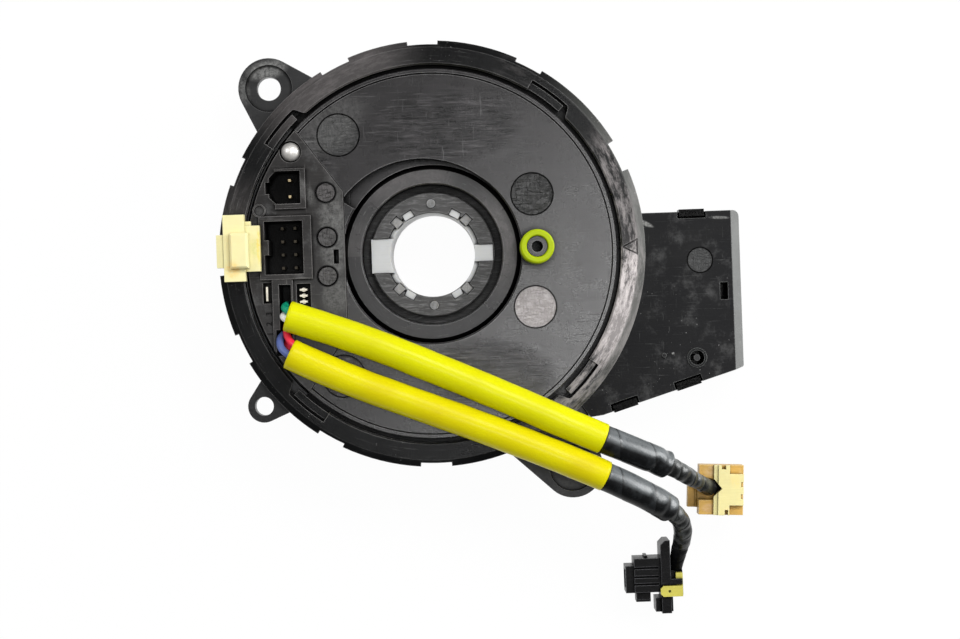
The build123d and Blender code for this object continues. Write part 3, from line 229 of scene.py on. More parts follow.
mouldedPlastics = {
    # colour, colour of rubbed edges, which also carries their painted highlight, roughness, size and depth of
    # the grain, mottle, share of scratches, edge wear with painted highlight and shine; turned: scratches run
    # round the steering axis;
    # deepShade: painted shade that darkens sockets between two heights; reach, seamShade: width and darkest
    # tone of the
    # painted shade in seams; blotch: change in roughness; fade: gloss at the upper left and at the lower
    # right; clouds:
    # grey of pale clouds; specks, swirl: share of dust and bent strokes; glow: light inside; scuffsAndSheen,
    # partly painted
    # highlight: (angle, half arc, share, contrast); marksAndShade: (x, y, radius, face, strokes, how much of
    # it, outlineShade of painted shade); smearsAndPaintedLight, a few of them painted highlight and painted
    # shadow: (x, y, half length, half width, turn, share, colour unless grey); rubs: (x, y, half length, half
    # width, turn); rimSheenBand, a painted
    # highlight: (radius, angle, half arc); strip, a painted highlight: (x, grey)
    "caseBlack": dict(
        colour=(0.0075, 0.0075, 0.008), edge=0.13, rough=0.34, grain=0.25,
        depth=0.06, mottle=0.6, scratch=0.5, edgeWearAndSheen=0.8, shine=0.30,
        marksAndShade=[(x, y, 3.7, 0.003, 0.003, 1.0, 0.0)
               for x, y in ((66.5, 8.6), (47.9, -40.1), (64.3, -35.1))],
        smearsAndPaintedLight=[(-41.2, 49.2, 6.5, 3.0, 12.0, 0.60), (-47.4, 44.0, 2.0, 4.5, 10.0, 0.30)]),
    "ringBlack": dict(
        colour=(0.0045, 0.0047, 0.0049), edge=(0.26, 0.255, 0.25), rough=0.20, grain=0.35,
        depth=0.06, mottle=0.8, scratch=0.45, edgeWearAndSheen=0.9, shine=0.10, turned=True, blotch=0.05, specks=0.25,
        # the bright arcs on the right and the upper left are partly painted highlight for the light the ring
        # reflects
        scuffsAndSheen=[(118.0, 30.0, 0.15, 0.4), (64.0, 7.0, 0.04, 1.0), (18.0, 20.0, 0.38, 1.0),
                (-14.0, 24.0, 1.0, 0.95), (-22.0, 14.0, 0.5, 0.3), (-36.0, 14.0, 0.42, 1.0),
                (-54.0, 14.0, 0.30, 1.0), (172.0, 20.0, 0.09, 0.6)],
        # a painted highlight on the bevel along the ring's right side
        rimSheenBand=(51.2, 0.0, 62.0)),
    "lidBlack": dict(
        colour=(0.0045, 0.0045, 0.0052), edge=(0.20, 0.205, 0.20), rough=0.42, grain=0.5,
        depth=0.07, mottle=0.9, scratch=0.8, edgeWearAndSheen=0.9, shine=0.11, clouds=0.085, specks=0.5,
        marksAndShade=[(68.3, -3.6, 3.25, (0.075, 0.076, 0.076), 0.030, 0.9, 0.8)],
        # the first smear is a painted highlight: the bright sliver on the lid's corner by the ring
        smearsAndPaintedLight=[(54.4, 6.3, 2.9, 0.75, -24.0, 0.95), (73.6, 7.1, 3.2, 0.5, -3.0, 0.55),
                (60.6, -27.3, 0.5, 0.35, 0.0, 0.9)],
        # the strip is a painted highlight along the lid's sloping outer edge
        strip=(76.4, 0.14)),
    "discBlack": dict(
        colour=(0.0170, 0.0160, 0.0166), edge=(0.30, 0.295, 0.295), rough=0.27, grain=0.30,
        depth=0.06, mottle=0.6, scratch=0.5, edgeWearAndSheen=0.9, shine=0.5, reach=2.3, blotch=0.04, fade=(0.40, 1.34),
        smearsAndPaintedLight=[(-24.0, 33.0, 12.0, 7.0, 38.0, 0.15), (-16.0, -34.0, 9.0, 4.0, -20.0, 0.06)],
        marksAndShade=[(25.5, 14.1, 5.3, 0.040, 0.003, 1.0, 1.0),
               (25.4, -14.2, 5.3, (0.34, 0.315, 0.315), (0.22, 0.20, 0.20), 1.0, 0.9),
               (-22.5, 30.5, 5.3, 0.055, 0.012, 0.9, 1.0),
               (-23.1, -29.9, 5.3, (0.16, 0.15, 0.155), (0.06, 0.056, 0.058), 0.9, 0.8),
               (-26.1, 16.2, 2.4, (0.085, 0.08, 0.08), 0.006, 1.0, 0.8),
               (-26.1, 5.0, 2.4, (0.075, 0.072, 0.072), 0.006, 1.0, 1.0),
               (-26.3, -4.7, 2.4, (0.075, 0.072, 0.072), 0.006, 1.0, 1.0)],
        rubs=[(5.0, 31.5, 23.0, 11.5, 4.0), (14.0, -30.0, 20.0, 10.0, -8.0),
              (-30.0, 24.0, 7.0, 9.0, 20.0)]),
    "blockBlack": dict(
        colour=(0.0145, 0.0134, 0.0130), edge=(0.26, 0.25, 0.245), rough=0.34, grain=0.3,
        depth=0.06, mottle=0.9, scratch=0.9, edgeWearAndSheen=0.8, shine=0.50, clouds=0.10,
        deepShade=(15.5, 18.8), fade=(0.36, 1.50),
        smearsAndPaintedLight=[(-24.6, 7.0, 4.4, 16.0, 0.0, 0.30), (-31.0, 16.5, 2.0, 5.0, 30.0, 0.22),
                (-24.5, -9.5, 4.5, 6.0, 0.0, 0.22)],
        marksAndShade=[(x, y, 2.65, 0.03, 0.01, 0.0, 0.6)
               for x, y in ((-26.1, 16.2), (-26.1, 5.0), (-26.3, -4.7))]),
    "drumBlack": dict(
        colour=(0.0095, 0.0089, 0.0093), edge=0.34, rough=0.30, grain=0.3,
        depth=0.07, mottle=0.9, scratch=0.9, edgeWearAndSheen=0.9, shine=0.42, turned=True, reach=2.0,
        deepShade=(8.0, 14.0), blotch=0.06,
        scuffsAndSheen=[(8.0, 52.0, 0.13, 0.45), (105.0, 42.0, 0.09, 0.45), (180.0, 40.0, 0.06, 0.45)]),
    "hubBlack": dict(
        colour=(0.034, 0.033, 0.033), edge=0.26, rough=0.48, grain=0.22,
        depth=0.16, mottle=0.8, scratch=1.0, edgeWearAndSheen=0.6, shine=0.5, reach=1.8, swirl=0.55, deepShade=(8.8, 10.4)),
    "plugBlack": dict(
        colour=(0.0032, 0.0032, 0.0035), edge=(0.15, 0.15, 0.16), rough=0.32, grain=0.3,
        depth=0.05, mottle=0.6, scratch=0.5, edgeWearAndSheen=0.9, shine=0.07),
    "figureBlack": dict(
        colour=0.004, edge=0.07, rough=0.4, grain=0.3,
        depth=0.03, mottle=0.3, scratch=0.1, edgeWearAndSheen=0.3, shine=0.02),
    "camWhite": dict(
        colour=(0.445, 0.45, 0.45), edge=0.74, rough=0.36, grain=0.5, depth=0.03,
        mottle=0.15, scratch=0.1, edgeWearAndSheen=0.4, shine=0.4, glow=0.2,
        marksAndShade=[(0.0, y, 1.35, 0.20, 0.11, 1.0, 0.3)
               for y in (12.9, -12.9)]
        + [(x, y, 1.7, (0.27, 0.265, 0.26), 0.20, 1.0, 0.0)
           for x, y in ((8.73, 8.52), (-8.85, 8.40), (-8.75, -8.51), (8.43, -8.82))]),
    "sleeveLime": dict(
        colour=(0.325, 0.415, 0.003), edge=(0.50, 0.60, 0.04), rough=0.34, grain=0.6,
        depth=0.03, mottle=0.15, scratch=0.05, edgeWearAndSheen=0.3, shine=0.09),
    "lockPale": dict(
        colour=(0.72, 0.665, 0.35), edge=(0.84, 0.80, 0.52), rough=0.46, grain=0.3, depth=0.04,
        mottle=0.10, scratch=0.05, edgeWearAndSheen=0.6, shine=0.35, glow=0.12, reach=0.6, seamShade=0.7,
        smearsAndPaintedLight=[(-49.5, -2.4, 2.4, 2.8, 0.0, 0.75, (0.80, 0.52, 0.14)),
                (-49.2, 4.0, 3.0, 6.0, 0.0, 0.35, (0.84, 0.66, 0.30)),
                (-43.9, 2.8, 1.8, 3.0, 0.0, 0.60, (0.56, 0.56, 0.18)),
                (-42.9, 3.0, 0.8, 6.0, 0.0, 0.70, (0.78, 0.56, 0.06))]),
    "plugIvory": dict(
        colour=(0.54, 0.325, 0.072), edge=(0.84, 0.64, 0.30), rough=0.42, grain=0.3, depth=0.05,
        mottle=0.4, scratch=0.1, edgeWearAndSheen=1.0, shine=0.25, glow=0.08, reach=0.8, seamShade=0.42,
        # painted shadow: the dark mark and the first smear fill the plug's open throat under the lead; the
        # three pale smears are cream tint and painted highlight at its edges
        marksAndShade=[(71.1, -62.4, 2.0, (0.010, 0.010, 0.012), (0.006, 0.006, 0.007), 1.0, 0.0)],
        smearsAndPaintedLight=[(71.3, -62.4, 2.4, 2.6, 0.0, 1.0, (0.010, 0.010, 0.012)),
                (70.0, -58.0, 3.0, 2.0, 0.0, 0.45, (0.74, 0.56, 0.36)),
                (69.0, -67.5, 3.0, 1.6, 0.0, 0.50, (0.74, 0.50, 0.32)),
                (77.0, -62.0, 1.0, 5.0, 0.0, 0.45, (0.84, 0.66, 0.38))]),
    "lidIvory": dict(
        colour=(0.69, 0.62, 0.29), edge=(0.84, 0.77, 0.46), rough=0.44, grain=0.3, depth=0.04,
        mottle=0.14, scratch=0.05, edgeWearAndSheen=0.5, shine=0.3, glow=0.12, reach=0.6, seamShade=0.5,
        smearsAndPaintedLight=[(75.5, -60.5, 1.8, 2.4, 0.0, 0.45, (0.84, 0.62, 0.20)),
                (74.0, -68.0, 2.2, 1.0, 0.0, 0.50, (0.86, 0.66, 0.30))]),
    "lockYellow": dict(
        colour=(0.46, 0.415, 0.060), edge=(0.66, 0.62, 0.22), rough=0.34, grain=0.4,
        depth=0.03, mottle=0.2, scratch=0.05, edgeWearAndSheen=0.5, shine=0.3, reach=0.8, seamShade=0.4),
}


def swirlRings(tree, flat):
    # long strokes bent by a broad noise, as a worn tool leaves them
    values = {"Vector": flat, "Scale": 1.0 / (plasticLook["bendSize"] * mm), "Detail": 1.0}
    bend = addNode(tree, "ShaderNodeTexNoise", values).outputs["Color"]
    shifted = vectorMaths(tree, "MULTIPLY_ADD", bend, (plasticLook["swirlBend"] * mm,) * 3, flat)[0]
    return noise(tree, shifted, plasticPatterns["swirls"])


def addScuffsAndSheen(tree, face, place, angle, facingUp, scuffsAndSheen):
    # pale streaks over arcs of a round face: scuffs, and partly painted highlight where the face reflects
    # light
    for centre, half, share, contrast in scuffsAndSheen:
        streaks = pattern(tree, place, plasticPatterns["scuffsAndSheen"], 1.0 - contrast, 1.0)
        worn = product(tree, zoneMask(tree, angle, centre, half), streaks, share, facingUp)
        face = blendColour(tree, worn, face, plasticLook["scuffAndSheenColour"])
    return face


def addRimSheen(tree, face, angle, radius, facingUp, start, centre, half):
    # painted highlight: a paler band beyond a radius, over one arc
    beyond = spread(tree, radius, start * mm, (start + plasticLook["rimSheenBlend"]) * mm)
    band = product(tree, beyond, zoneMask(tree, angle, centre, half), facingUp, plasticLook["rimSheenShare"])
    return blendColour(tree, band, face, plasticLook["rimSheenColour"])


def addRubs(tree, face, relief, flat, colour, rubs):
    # rubbing that runs along the patch: wavy streaks, some lighter than the colour and some darker
    for rub in rubs:
        inside = spread(tree, flatReach(tree, flat, *rub), *maskSpans["rub"], smooth=True)
        wavy = noise(tree, flat, plasticPatterns["rubs"])
        for low, high, share, tone in plasticLook["rubTones"]:
            streaks = product(tree, inside, spread(tree, wavy, low, high, 0.0, share))
            face = blendColour(tree, streaks, face, tuple(tone * c for c in colour))
        relief = maths(tree, "MULTIPLY_ADD", product(tree, inside, wavy), plasticLook["rubRelief"], relief)
    return face, relief


def addMarksAndShade(tree, face, relief, openness, flat, facingUp, marksAndShade):
    # round moulding marks: faces rubbed with crossing strokes in two tones, each with a fine outline of
    # painted shade along its step
    rubbed = maths(tree, "MAXIMUM", pattern(tree, flat, plasticPatterns["strokes"]),
                   pattern(tree, flat, plasticPatterns["crossStrokes"]))
    for x, y, size, pale, dark, share, outlineShade in marksAndShade:
        distance = flatReach(tree, flat, x, y, size, size)
        full = 1.0 - plasticLook["markBlend"] / size
        inside = product(tree, spread(tree, distance, 1.0, full), facingUp, share)
        face = blendColour(tree, inside, face, blendColour(tree, rubbed, pale, dark))
        # painted shade: a fine dark line round the mark, which also lowers the openness there
        away = maths(tree, "ABSOLUTE", maths(tree, "SUBTRACT", distance, 1.0))
        line = spread(tree, away, *(half / size for half in plasticLook["outlineShadeHalf"]), 0.0, outlineShade)
        openness = product(tree, openness, maths(tree, "SUBTRACT", 1.0, line))
        # the darker a mark, the duller
        dull = plasticLook["markDull"] * max(0.0, 1.0 - np.max(pale) / plasticLook["markGloss"])
        if dull:
            openness = product(tree, openness, maths(tree, "MULTIPLY_ADD", inside, -dull, 1.0))
        face = blendColour(tree, line, face, plasticLook["outlineShadeColour"])
        relief = maths(tree, "MULTIPLY_ADD", product(tree, inside, rubbed), plasticLook["markRelief"], relief)
    return face, relief, openness


def addSmearsAndPaintedLight(tree, face, flat, smearsAndPaintedLight):
    # soft broken patches of another colour: smears, and in some places painted highlight and painted shadow
    for x, y, longHalf, wideHalf, turn, share, *tint in smearsAndPaintedLight:
        broken = pattern(tree, flat, plasticPatterns["smearsAndPaintedLight"])
        reach = flatReach(tree, flat, x, y, longHalf, wideHalf, turn)
        inside = spread(tree, reach, *maskSpans["smear"], smooth=True)
        colour = tint[0] if tint else plasticLook["smearAndSheenColour"]
        face = blendColour(tree, product(tree, inside, broken, share), face, colour)
    return face


def addStripSheen(tree, face, flat, broad, start, level):
    # painted highlight: the sloping strip along the outer edge is painted much paler, for the light it
    # catches
    tone = blendColour(tree, spread(tree, broad, *noiseMiddle), (level, 1.02 * level, level),
                       (1.3 * level, 1.33 * level, 1.3 * level))
    beyond = spread(tree, axes(tree, flat)["X"], start * mm, (start + plasticLook["stripSheenBlend"]) * mm)
    return blendColour(tree, beyond, face, tone)


def addDust(tree, face, flat, share):
    # pale specks, thicker in places
    specks = product(tree, pattern(tree, flat, plasticPatterns["dust"]),
                     pattern(tree, flat, plasticPatterns["dustPatches"]), share)
    return blendColour(tree, specks, face, plasticLook["dustColour"])


def mouldedPlastic(name, colour, edge, rough, grain, depth, mottle, scratch, edgeWearAndSheen, shine, glow=0.0,
                   turned=False, deepShade=None, clouds=0.0, fade=None, specks=0.0, swirl=0.0, reach=1.1,
                   seamShade=0.08, blotch=0.10, scuffsAndSheen=(), marksAndShade=(), rubs=(), smearsAndPaintedLight=(), rimSheenBand=None, strip=None):
    # moulded plastic: mottling, grain, hairline scratches, paler rubbed edges that also carry painted
    # highlight, and painted shade in the seams
    material, tree, shader, flat = newMaterial(name)
    place, angle, radius = roundPlace(tree, flat) if turned else (flat, None, None)
    broad = noise(tree, place, plasticPatterns["mottle"])
    relief = noise(tree, place, dict(size=grain, detail=3.0, roughness=0.65))
    lines = noise(tree, place, plasticPatterns["hairs"])
    crossed = pattern(tree, place, plasticPatterns["crossHairs"], 0.0, 0.25 if turned else 1.0)
    hairs = maths(tree, "MAXIMUM", spread(tree, lines, *plasticPatterns["hairs"]["span"]), crossed)
    hairs = product(tree, hairs, pattern(tree, place, plasticPatterns["hairPatches"]), scratch)
    openness = seamOpen(tree, reach)
    tone = product(tree, *(spread(tree, value, *noiseMiddle, 1.0 - change * mottle, 1.0 + change * mottle)
                           for value, change in ((broad, 0.5), (lines, 0.25))))
    face = blendColour(tree, 1.0, colour, tone, "MULTIPLY")
    if clouds:
        cloud = pattern(tree, place, plasticPatterns["clouds"])
        face = blendColour(tree, product(tree, cloud, plasticLook["cloudShare"]), face, clouds)
    if swirl:
        rings = swirlRings(tree, flat)
        streaks = spread(tree, rings, *plasticPatterns["swirls"]["span"])
        face = blendColour(tree, product(tree, streaks, swirl), face, edge)
        relief = maths(tree, "MULTIPLY_ADD", rings, plasticLook["swirlRelief"], relief)
    facingUp = upwardMask(tree) if scuffsAndSheen or rimSheenBand or marksAndShade else None
    face = addScuffsAndSheen(tree, face, place, angle, facingUp, scuffsAndSheen)
    if rimSheenBand:
        face = addRimSheen(tree, face, angle, radius, facingUp, *rimSheenBand)
    face, relief = addRubs(tree, face, relief, flat, colour, rubs)
    if marksAndShade:
        face, relief, openness = addMarksAndShade(tree, face, relief, openness, flat, facingUp, marksAndShade)
    face = addSmearsAndPaintedLight(tree, face, flat, smearsAndPaintedLight)
    if strip:
        face = addStripSheen(tree, face, flat, broad, *strip)
    if specks:
        face = addDust(tree, face, flat, specks)
    # edge wear and painted highlight: the edges turn paler both where rubbed and for the light they catch
    patchy = spread(tree, broad, *plasticLook["wearPatches"])
    rubbedAndLitEdges = product(tree, edgeMask(tree, plasticLook["edgeRadius"]), patchy, openness, openness, edgeWearAndSheen)
    face = blendColour(tree, rubbedAndLitEdges, face, edge)
    face = blendColour(tree, product(tree, hairs, plasticLook["hairShare"]), face, edge)
    # painted shade: the colour darkens in seams and inner corners, down to seamShade where they are deepest
    face = blendColour(tree, 1.0, face, spread(tree, openness, 0.0, 1.0, seamShade, 1.0), "MULTIPLY")
    gloss = spread(tree, openness, 0.0, 1.0, plasticLook["seamGloss"] * shine, shine)
    if fade:
        # the polish has gone toward the upper left and is brightest toward the lower right
        parts = axes(tree, flat)
        across = maths(tree, "MULTIPLY_ADD", parts["Y"], -plasticLook["fadeSlope"], parts["X"])
        start, end = plasticLook["fadeSpan"]
        gloss = product(tree, gloss, spread(tree, across, start * mm, end * mm, *fade))
    # painted shade: below the given heights the colour turns dark and the gloss drops, as in deep sockets and
    # wells
    if deepShade:
        sunk = spread(tree, axes(tree, flat)["Z"], deepShade[0] * mm, deepShade[1] * mm, 1.0, 0.0)
        recessShade = product(tree, sunk, plasticLook["deepShadeShare"])
        face = blendColour(tree, recessShade, face, plasticLook["deepShadeColour"])
        gloss = product(tree, gloss, spread(tree, sunk, 0.0, 1.0, 1.0, plasticLook["deepGloss"]))
    uneven = spread(tree, broad, 0.25, 0.75, rough - blotch, rough + blotch)
    roughness = maths(tree, "MULTIPLY_ADD", hairs, plasticLook["hairRough"], uneven, clamp=True)
    setInputs(tree, shader, {"Base Color": face, "Specular IOR Level": gloss, "Roughness": roughness})
    relief = maths(tree, "MULTIPLY_ADD", hairs, plasticLook["hairRelief"], relief)
    addBump(tree, shader, plasticLook["bump"], depth, relief, plasticLook["cornerRadius"])
    if glow:
        lightInside(tree, shader, glow, plasticLook["lightDepths"])
    return material


brightMetals = {
    "screwSteel": dict(colour=(0.72, 0.70, 0.67), rough=0.40, metal=0.6),
    "terminalTin": dict(colour=(0.68, 0.64, 0.54), rough=0.32, metal=0.85),
    "pinBronze": dict(colour=(0.46, 0.37, 0.22), rough=0.34, metal=1.0),
    "pinDark": dict(colour=(0.050, 0.042, 0.030), rough=0.40, metal=0.8),
}
metalLook = dict(tarnish=0.72, roughLess=0.06, roughMore=0.12, bump=0.5, depth=0.02, edgeRadius=0.08)
metalPatterns = dict(
    tarnish=dict(size=2.2, detail=3.0, roughness=0.6, span=(0.35, 0.7)),
    brushing=dict(size=0.6, detail=3.0, roughness=0.7, stretch=(1.0, 6.0, 1.0)),
)


def brightMetal(name, colour, rough, metal):
    # metal with fine brushing and darker tarnish in patches
    material, tree, shader, place = newMaterial(name)
    brushed = noise(tree, place, metalPatterns["brushing"])
    tarnish = pattern(tree, place, metalPatterns["tarnish"])
    face = blendColour(tree, tarnish, colour, tuple(metalLook["tarnish"] * c for c in colour))
    smoothest, roughest = rough - metalLook["roughLess"], rough + metalLook["roughMore"]
    roughness = spread(tree, brushed, *noiseMiddle, smoothest, roughest)
    setInputs(tree, shader, {"Base Color": face, "Metallic": metal, "Roughness": roughness})
    addBump(tree, shader, metalLook["bump"], metalLook["depth"], brushed, metalLook["edgeRadius"])
    return material


# pitch of the copper strips in mm
film = dict(pitch=1.6, copper=(0.62, 0.33, 0.16), between=(0.30, 0.20, 0.08),
            strip=(-0.1, 0.1), rough=(0.16, 0.30), smudges=dict(size=6.0, detail=3.0, span=noiseMiddle))


def cableFilm():
    # clear film over flat copper strips that run along the cable
    material, tree, shader, place = newMaterial("cableFilm")
    strips = maths(tree, "SINE", product(tree, axes(tree, place)["Z"], 2 * math.pi / (film["pitch"] * mm)))
    colour = blendColour(tree, spread(tree, strips, *film["strip"]), film["between"], film["copper"])
    roughness = pattern(tree, place, film["smudges"], *film["rough"])
    setInputs(tree, shader, {"Base Color": colour, "Roughness": roughness})
    return material


wirePlastic = dict(rough=0.28, ripple=0.02, shine=0.4)
tubeFinish = {
    "sleeveYellow": dict(colour=(0.585, 0.585, 0.0015), shade=(0.555, 0.53, 0.0012), rough=0.27, ripple=0.05,
                         shine=0.13),
    "sleeveWarm": dict(colour=(0.60, 0.545, 0.0020), shade=(0.55, 0.46, 0.0015), rough=0.28, ripple=0.05,
                       shine=0.11),
    "wireGreen": dict(colour=(0.006, 0.34, 0.20), shade=(0.004, 0.24, 0.13), **wirePlastic),
    "wireWhite": dict(colour=(0.88, 0.88, 0.87), shade=(0.78, 0.77, 0.74), **wirePlastic),
    "wireRed": dict(colour=(0.80, 0.030, 0.065), shade=(0.58, 0.018, 0.04), **wirePlastic),
    "wireBlue": dict(colour=(0.10, 0.145, 0.37), shade=(0.06, 0.085, 0.24), **wirePlastic),
}
tubeLook = dict(shadeSpan=(0.35, 0.75), roughLess=0.04, roughMore=0.09, glow=0.08,
                lightDepths=(1.0, 0.8, 0.3), bump=0.5)
tubePatterns = dict(
    broad=dict(size=12.0, detail=3.0, roughness=0.55),
    fine=dict(size=1.6, detail=3.0, roughness=0.6),
)


def tubePlastic(name, colour, shade, rough, ripple, shine):
    # extruded soft plastic: faint tone changes and a slightly uneven gloss
    material, tree, shader, place = newMaterial(name)
    broad = noise(tree, place, tubePatterns["broad"])
    tone = blendColour(tree, spread(tree, broad, *tubeLook["shadeSpan"]), colour, shade)
    smoothest, roughest = rough - tubeLook["roughLess"], rough + tubeLook["roughMore"]
    roughness = spread(tree, broad, *noiseMiddle, smoothest, roughest)
    setInputs(tree, shader, {"Base Color": tone, "Roughness": roughness, "Specular IOR Level": shine})
    lightInside(tree, shader, tubeLook["glow"], tubeLook["lightDepths"])
    addBump(tree, shader, tubeLook["bump"], ripple, noise(tree, place, tubePatterns["fine"]))
    return material


tapeFinish = {
    # pale: where the tape is stretched; light: painted highlight on its upper side; pitch of the laps in mm
    "tapeBlack": dict(colour=(0.0030, 0.0034, 0.0038), pale=(0.016, 0.018, 0.020), rough=0.27, pitch=9.5,
                      shine=0.10, crease=0.05, light=(0.120, 0.131, 0.136)),
    "tapeGrey": dict(colour=(0.0065, 0.0072, 0.0070), pale=(0.060, 0.065, 0.064), rough=0.30, pitch=5.5,
                     shine=0.14, crease=0.24, light=(0.095, 0.101, 0.100)),
}
tapeLook = dict(
    creases=dict(size=1.9, detail=4.0, roughness=0.62, stretch=(1.0, 1.0, 1.6)), creaseSpan=(0.50, 0.68),
    sheenFacing=(0.32, 0.69, 0.65), sheenBreakup=dict(size=7.0, span=(0.30, 0.60)),  # the side that gets the painted highlight, and the patches that break it up
    mouthX=(68.6, 69.6), mouthY=(-77.0, -78.4), dark=(0.004, 0.004, 0.005),  # mm; past them it is in a plug, and dark is its painted shade there
    # shares of a lap, spans of the facing and shares of the colours laid over the tape
    seamSpan=(0.0, 0.07), lightSpan=(0.75, 1.0), sheenSpan=(0.57, 0.86), glossSpan=(0.30, 0.80, 0.10, 0.5),
    lightShare=0.5, creaseShare=0.6, mouthShadeShare=0.9, seamShadeShare=0.85, seamShadeTone=0.25, mouthDull=0.8,
    roughLess=0.08, roughMore=0.14, coatRough=0.25, creaseRelief=0.8, seamRelief=-0.8, bump=0.7,
)


def woundTape(name, colour, pale, rough, pitch, shine, crease, light):
    # stretched tape wound on a bundle: the UV map runs along (U, metres) and round (V, turns)
    material, tree, shader, place = newMaterial(name)
    wrap = axes(tree, addNode(tree, "ShaderNodeUVMap", uv_map="wrap").outputs[0])
    turns = maths(tree, "SUBTRACT", maths(tree, "DIVIDE", wrap["X"], pitch * mm), wrap["Y"])
    lap = maths(tree, "FRACT", turns)
    seamShade = spread(tree, lap, *tapeLook["seamSpan"], 1.0, 0.0)
    creases = noise(tree, place, tapeLook["creases"])
    stretched = spread(tree, creases, *tapeLook["creaseSpan"])
    lightEnd = product(tree, spread(tree, lap, *tapeLook["lightSpan"]), tapeLook["lightShare"])
    face = blendColour(tree, lightEnd, colour, pale)
    face = blendColour(tree, product(tree, stretched, tapeLook["creaseShare"]), face, pale)
    # painted highlight: the side that faces sheenFacing is painted paler, broken into patches
    normal = addNode(tree, "ShaderNodeTexCoord").outputs["Normal"]
    facing = vectorMaths(tree, "DOT_PRODUCT", normal, tapeLook["sheenFacing"])["Value"]
    upperSheenMask = product(tree, spread(tree, facing, *tapeLook["sheenSpan"], smooth=True),
                     pattern(tree, place, tapeLook["sheenBreakup"], 0.55, 1.0))
    face = blendColour(tree, upperSheenMask, face, light)
    # painted shade: past the mouth the tape lies inside a plug and is painted almost black
    parts = axes(tree, place)
    past = [spread(tree, parts[axis], tapeLook[span][0] * mm, tapeLook[span][1] * mm)
            for axis, span in (("X", "mouthX"), ("Y", "mouthY"))]
    mouth = maths(tree, "MAXIMUM", *past)
    face = blendColour(tree, product(tree, mouth, tapeLook["mouthShadeShare"]), face, tapeLook["dark"])
    # painted shade: the edge of each lap is darkened
    seamShadeColour = tuple(tapeLook["seamShadeTone"] * c for c in colour)
    face = blendColour(tree, product(tree, seamShade, tapeLook["seamShadeShare"]), face, seamShadeColour)
    bare = maths(tree, "MULTIPLY_ADD", mouth, -tapeLook["mouthDull"], 1.0)
    gloss = product(tree, spread(tree, facing, *tapeLook["glossSpan"]), bare)
    smoothest, roughest = rough - tapeLook["roughLess"], rough + tapeLook["roughMore"]
    roughness = spread(tree, creases, *noiseMiddle, smoothest, roughest)
    setInputs(tree, shader, {"Base Color": face, "Roughness": roughness, "Specular IOR Level": gloss,
                             "Coat Weight": product(tree, bare, shine),
                             "Coat Roughness": tapeLook["coatRough"]})
    steps = product(tree, seamShade, tapeLook["seamRelief"])
    relief = maths(tree, "MULTIPLY_ADD", creases, tapeLook["creaseRelief"], steps)
    addBump(tree, shader, tapeLook["bump"], crease, relief)
    return material


finishes = {name: mouldedPlastic(name, **values) for name, values in mouldedPlastics.items()}
finishes.update({name: brightMetal(name, **values) for name, values in brightMetals.items()})
finishes["cableFilm"] = cableFilm()
finishes.update({name: tubePlastic(name, **values) for name, values in tubeFinish.items()})
finishes.update({name: woundTape(name, **values) for name, values in tapeFinish.items()})

nodeFinish = {
    "case_body": "caseBlack", "top_ring": "ringBlack", "rear_cover": "caseBlack", "wing_lid": "lidBlack",
    "terminal_carrier": "blockBlack", "wing_pins_long": "terminalTin", "wing_pins_short": "terminalTin",
    "flat_cable": "cableFilm", "rotor_disc": "discBlack", "connector_block": "blockBlack",
    "block_screw": "screwSteel", "small_socket_pins": "pinBronze", "large_socket_pins": "pinDark",
    "wire_terminals": "terminalTin", "rotor_drum": "drumBlack", "hub_plate": "hubBlack",
    "cancel_cam": "camWhite", "drive_pin_sleeve": "sleeveLime", "inner_cable_end": "blockBlack",
    "transit_lock": "lockPale", "ivory_plug": "plugIvory", "ivory_lid": "lidIvory",
    "black_plug": "plugBlack", "plug_lock": "lockYellow",
}
for nodeName, finishName in nodeFinish.items():
    mesh = nodes[nodeName].data
    mesh.materials.clear()
    mesh.materials.append(finishes[finishName])
print("finishes made:", len(finishes))

# control points in mm from each sleeve's mouth to its plug
upperRoute = [
    (-36.2, -14.4, 24.2), (-22.4, -19.1, 24.2), (-4.8, -26.5, 24.2), (15.7, -35.7, 24.2),
    (33.3, -44.1, 24.2), (47.1, -50.4, 22.6), (58.4, -55.5, 17.4), (64.0, -59.3, 11.4),
    (69.1, -62.4, 3.6),
]
lowerRoute = [
    (-36.0, -23.8, 24.2), (-23.8, -29.9, 24.2), (-9.1, -35.8, 24.2), (6.6, -41.9, 24.2),
    (23.2, -48.7, 24.2), (39.4, -55.9, 24.0), (50.3, -61.6, 21.4), (57.0, -65.8, 16.8),
    (60.9, -69.6, 11.4), (61.6, -74.4, 5.0), (60.8, -79.2, -0.9), (60.1, -83.0, -4.2),
]
wireRoutes = {
    # points in mm from the channel's floor up; across, above: its place in the sleeve of its lead
    "wireGreen": dict(node="wire_green", slot="wire_green", finish="wireGreen", lead="upper",
                      points=[(-37.1, -11.5, 11.2), (-37.1, -11.5, 18.6)], across=1.05, above=0.0),
    "wireWhite": dict(node="wire_white", slot="wire_white", finish="wireWhite", lead="upper",
                      points=[(-37.1, -13.7, 11.2), (-37.1, -13.7, 17.6)], across=-1.05, above=0.0),
    "wireRedFirst": dict(node="wire_red_1", slot="wire_red", finish="wireRed", lead="lower",
                         points=[(-37.1, -15.9, 11.2), (-37.2, -15.9, 18.6)], across=2.0, above=0.7),
    "wireRedSecond": dict(node="wire_red_2", slot="wire_red", finish="wireRed", lead="lower",
                          points=[(-36.9, -20.3, 11.2), (-36.8, -20.3, 17.2)], across=1.3, above=-1.1),
    "wireBlue": dict(node="wire_blue", slot="wire_blue", finish="wireBlue", lead="lower",
                     points=[(-37.5, -18.3, 11.2), (-37.6, -18.5, 17.4), (-38.9, -20.4, 22.6)],
                     across=-0.6, above=0.6),
}
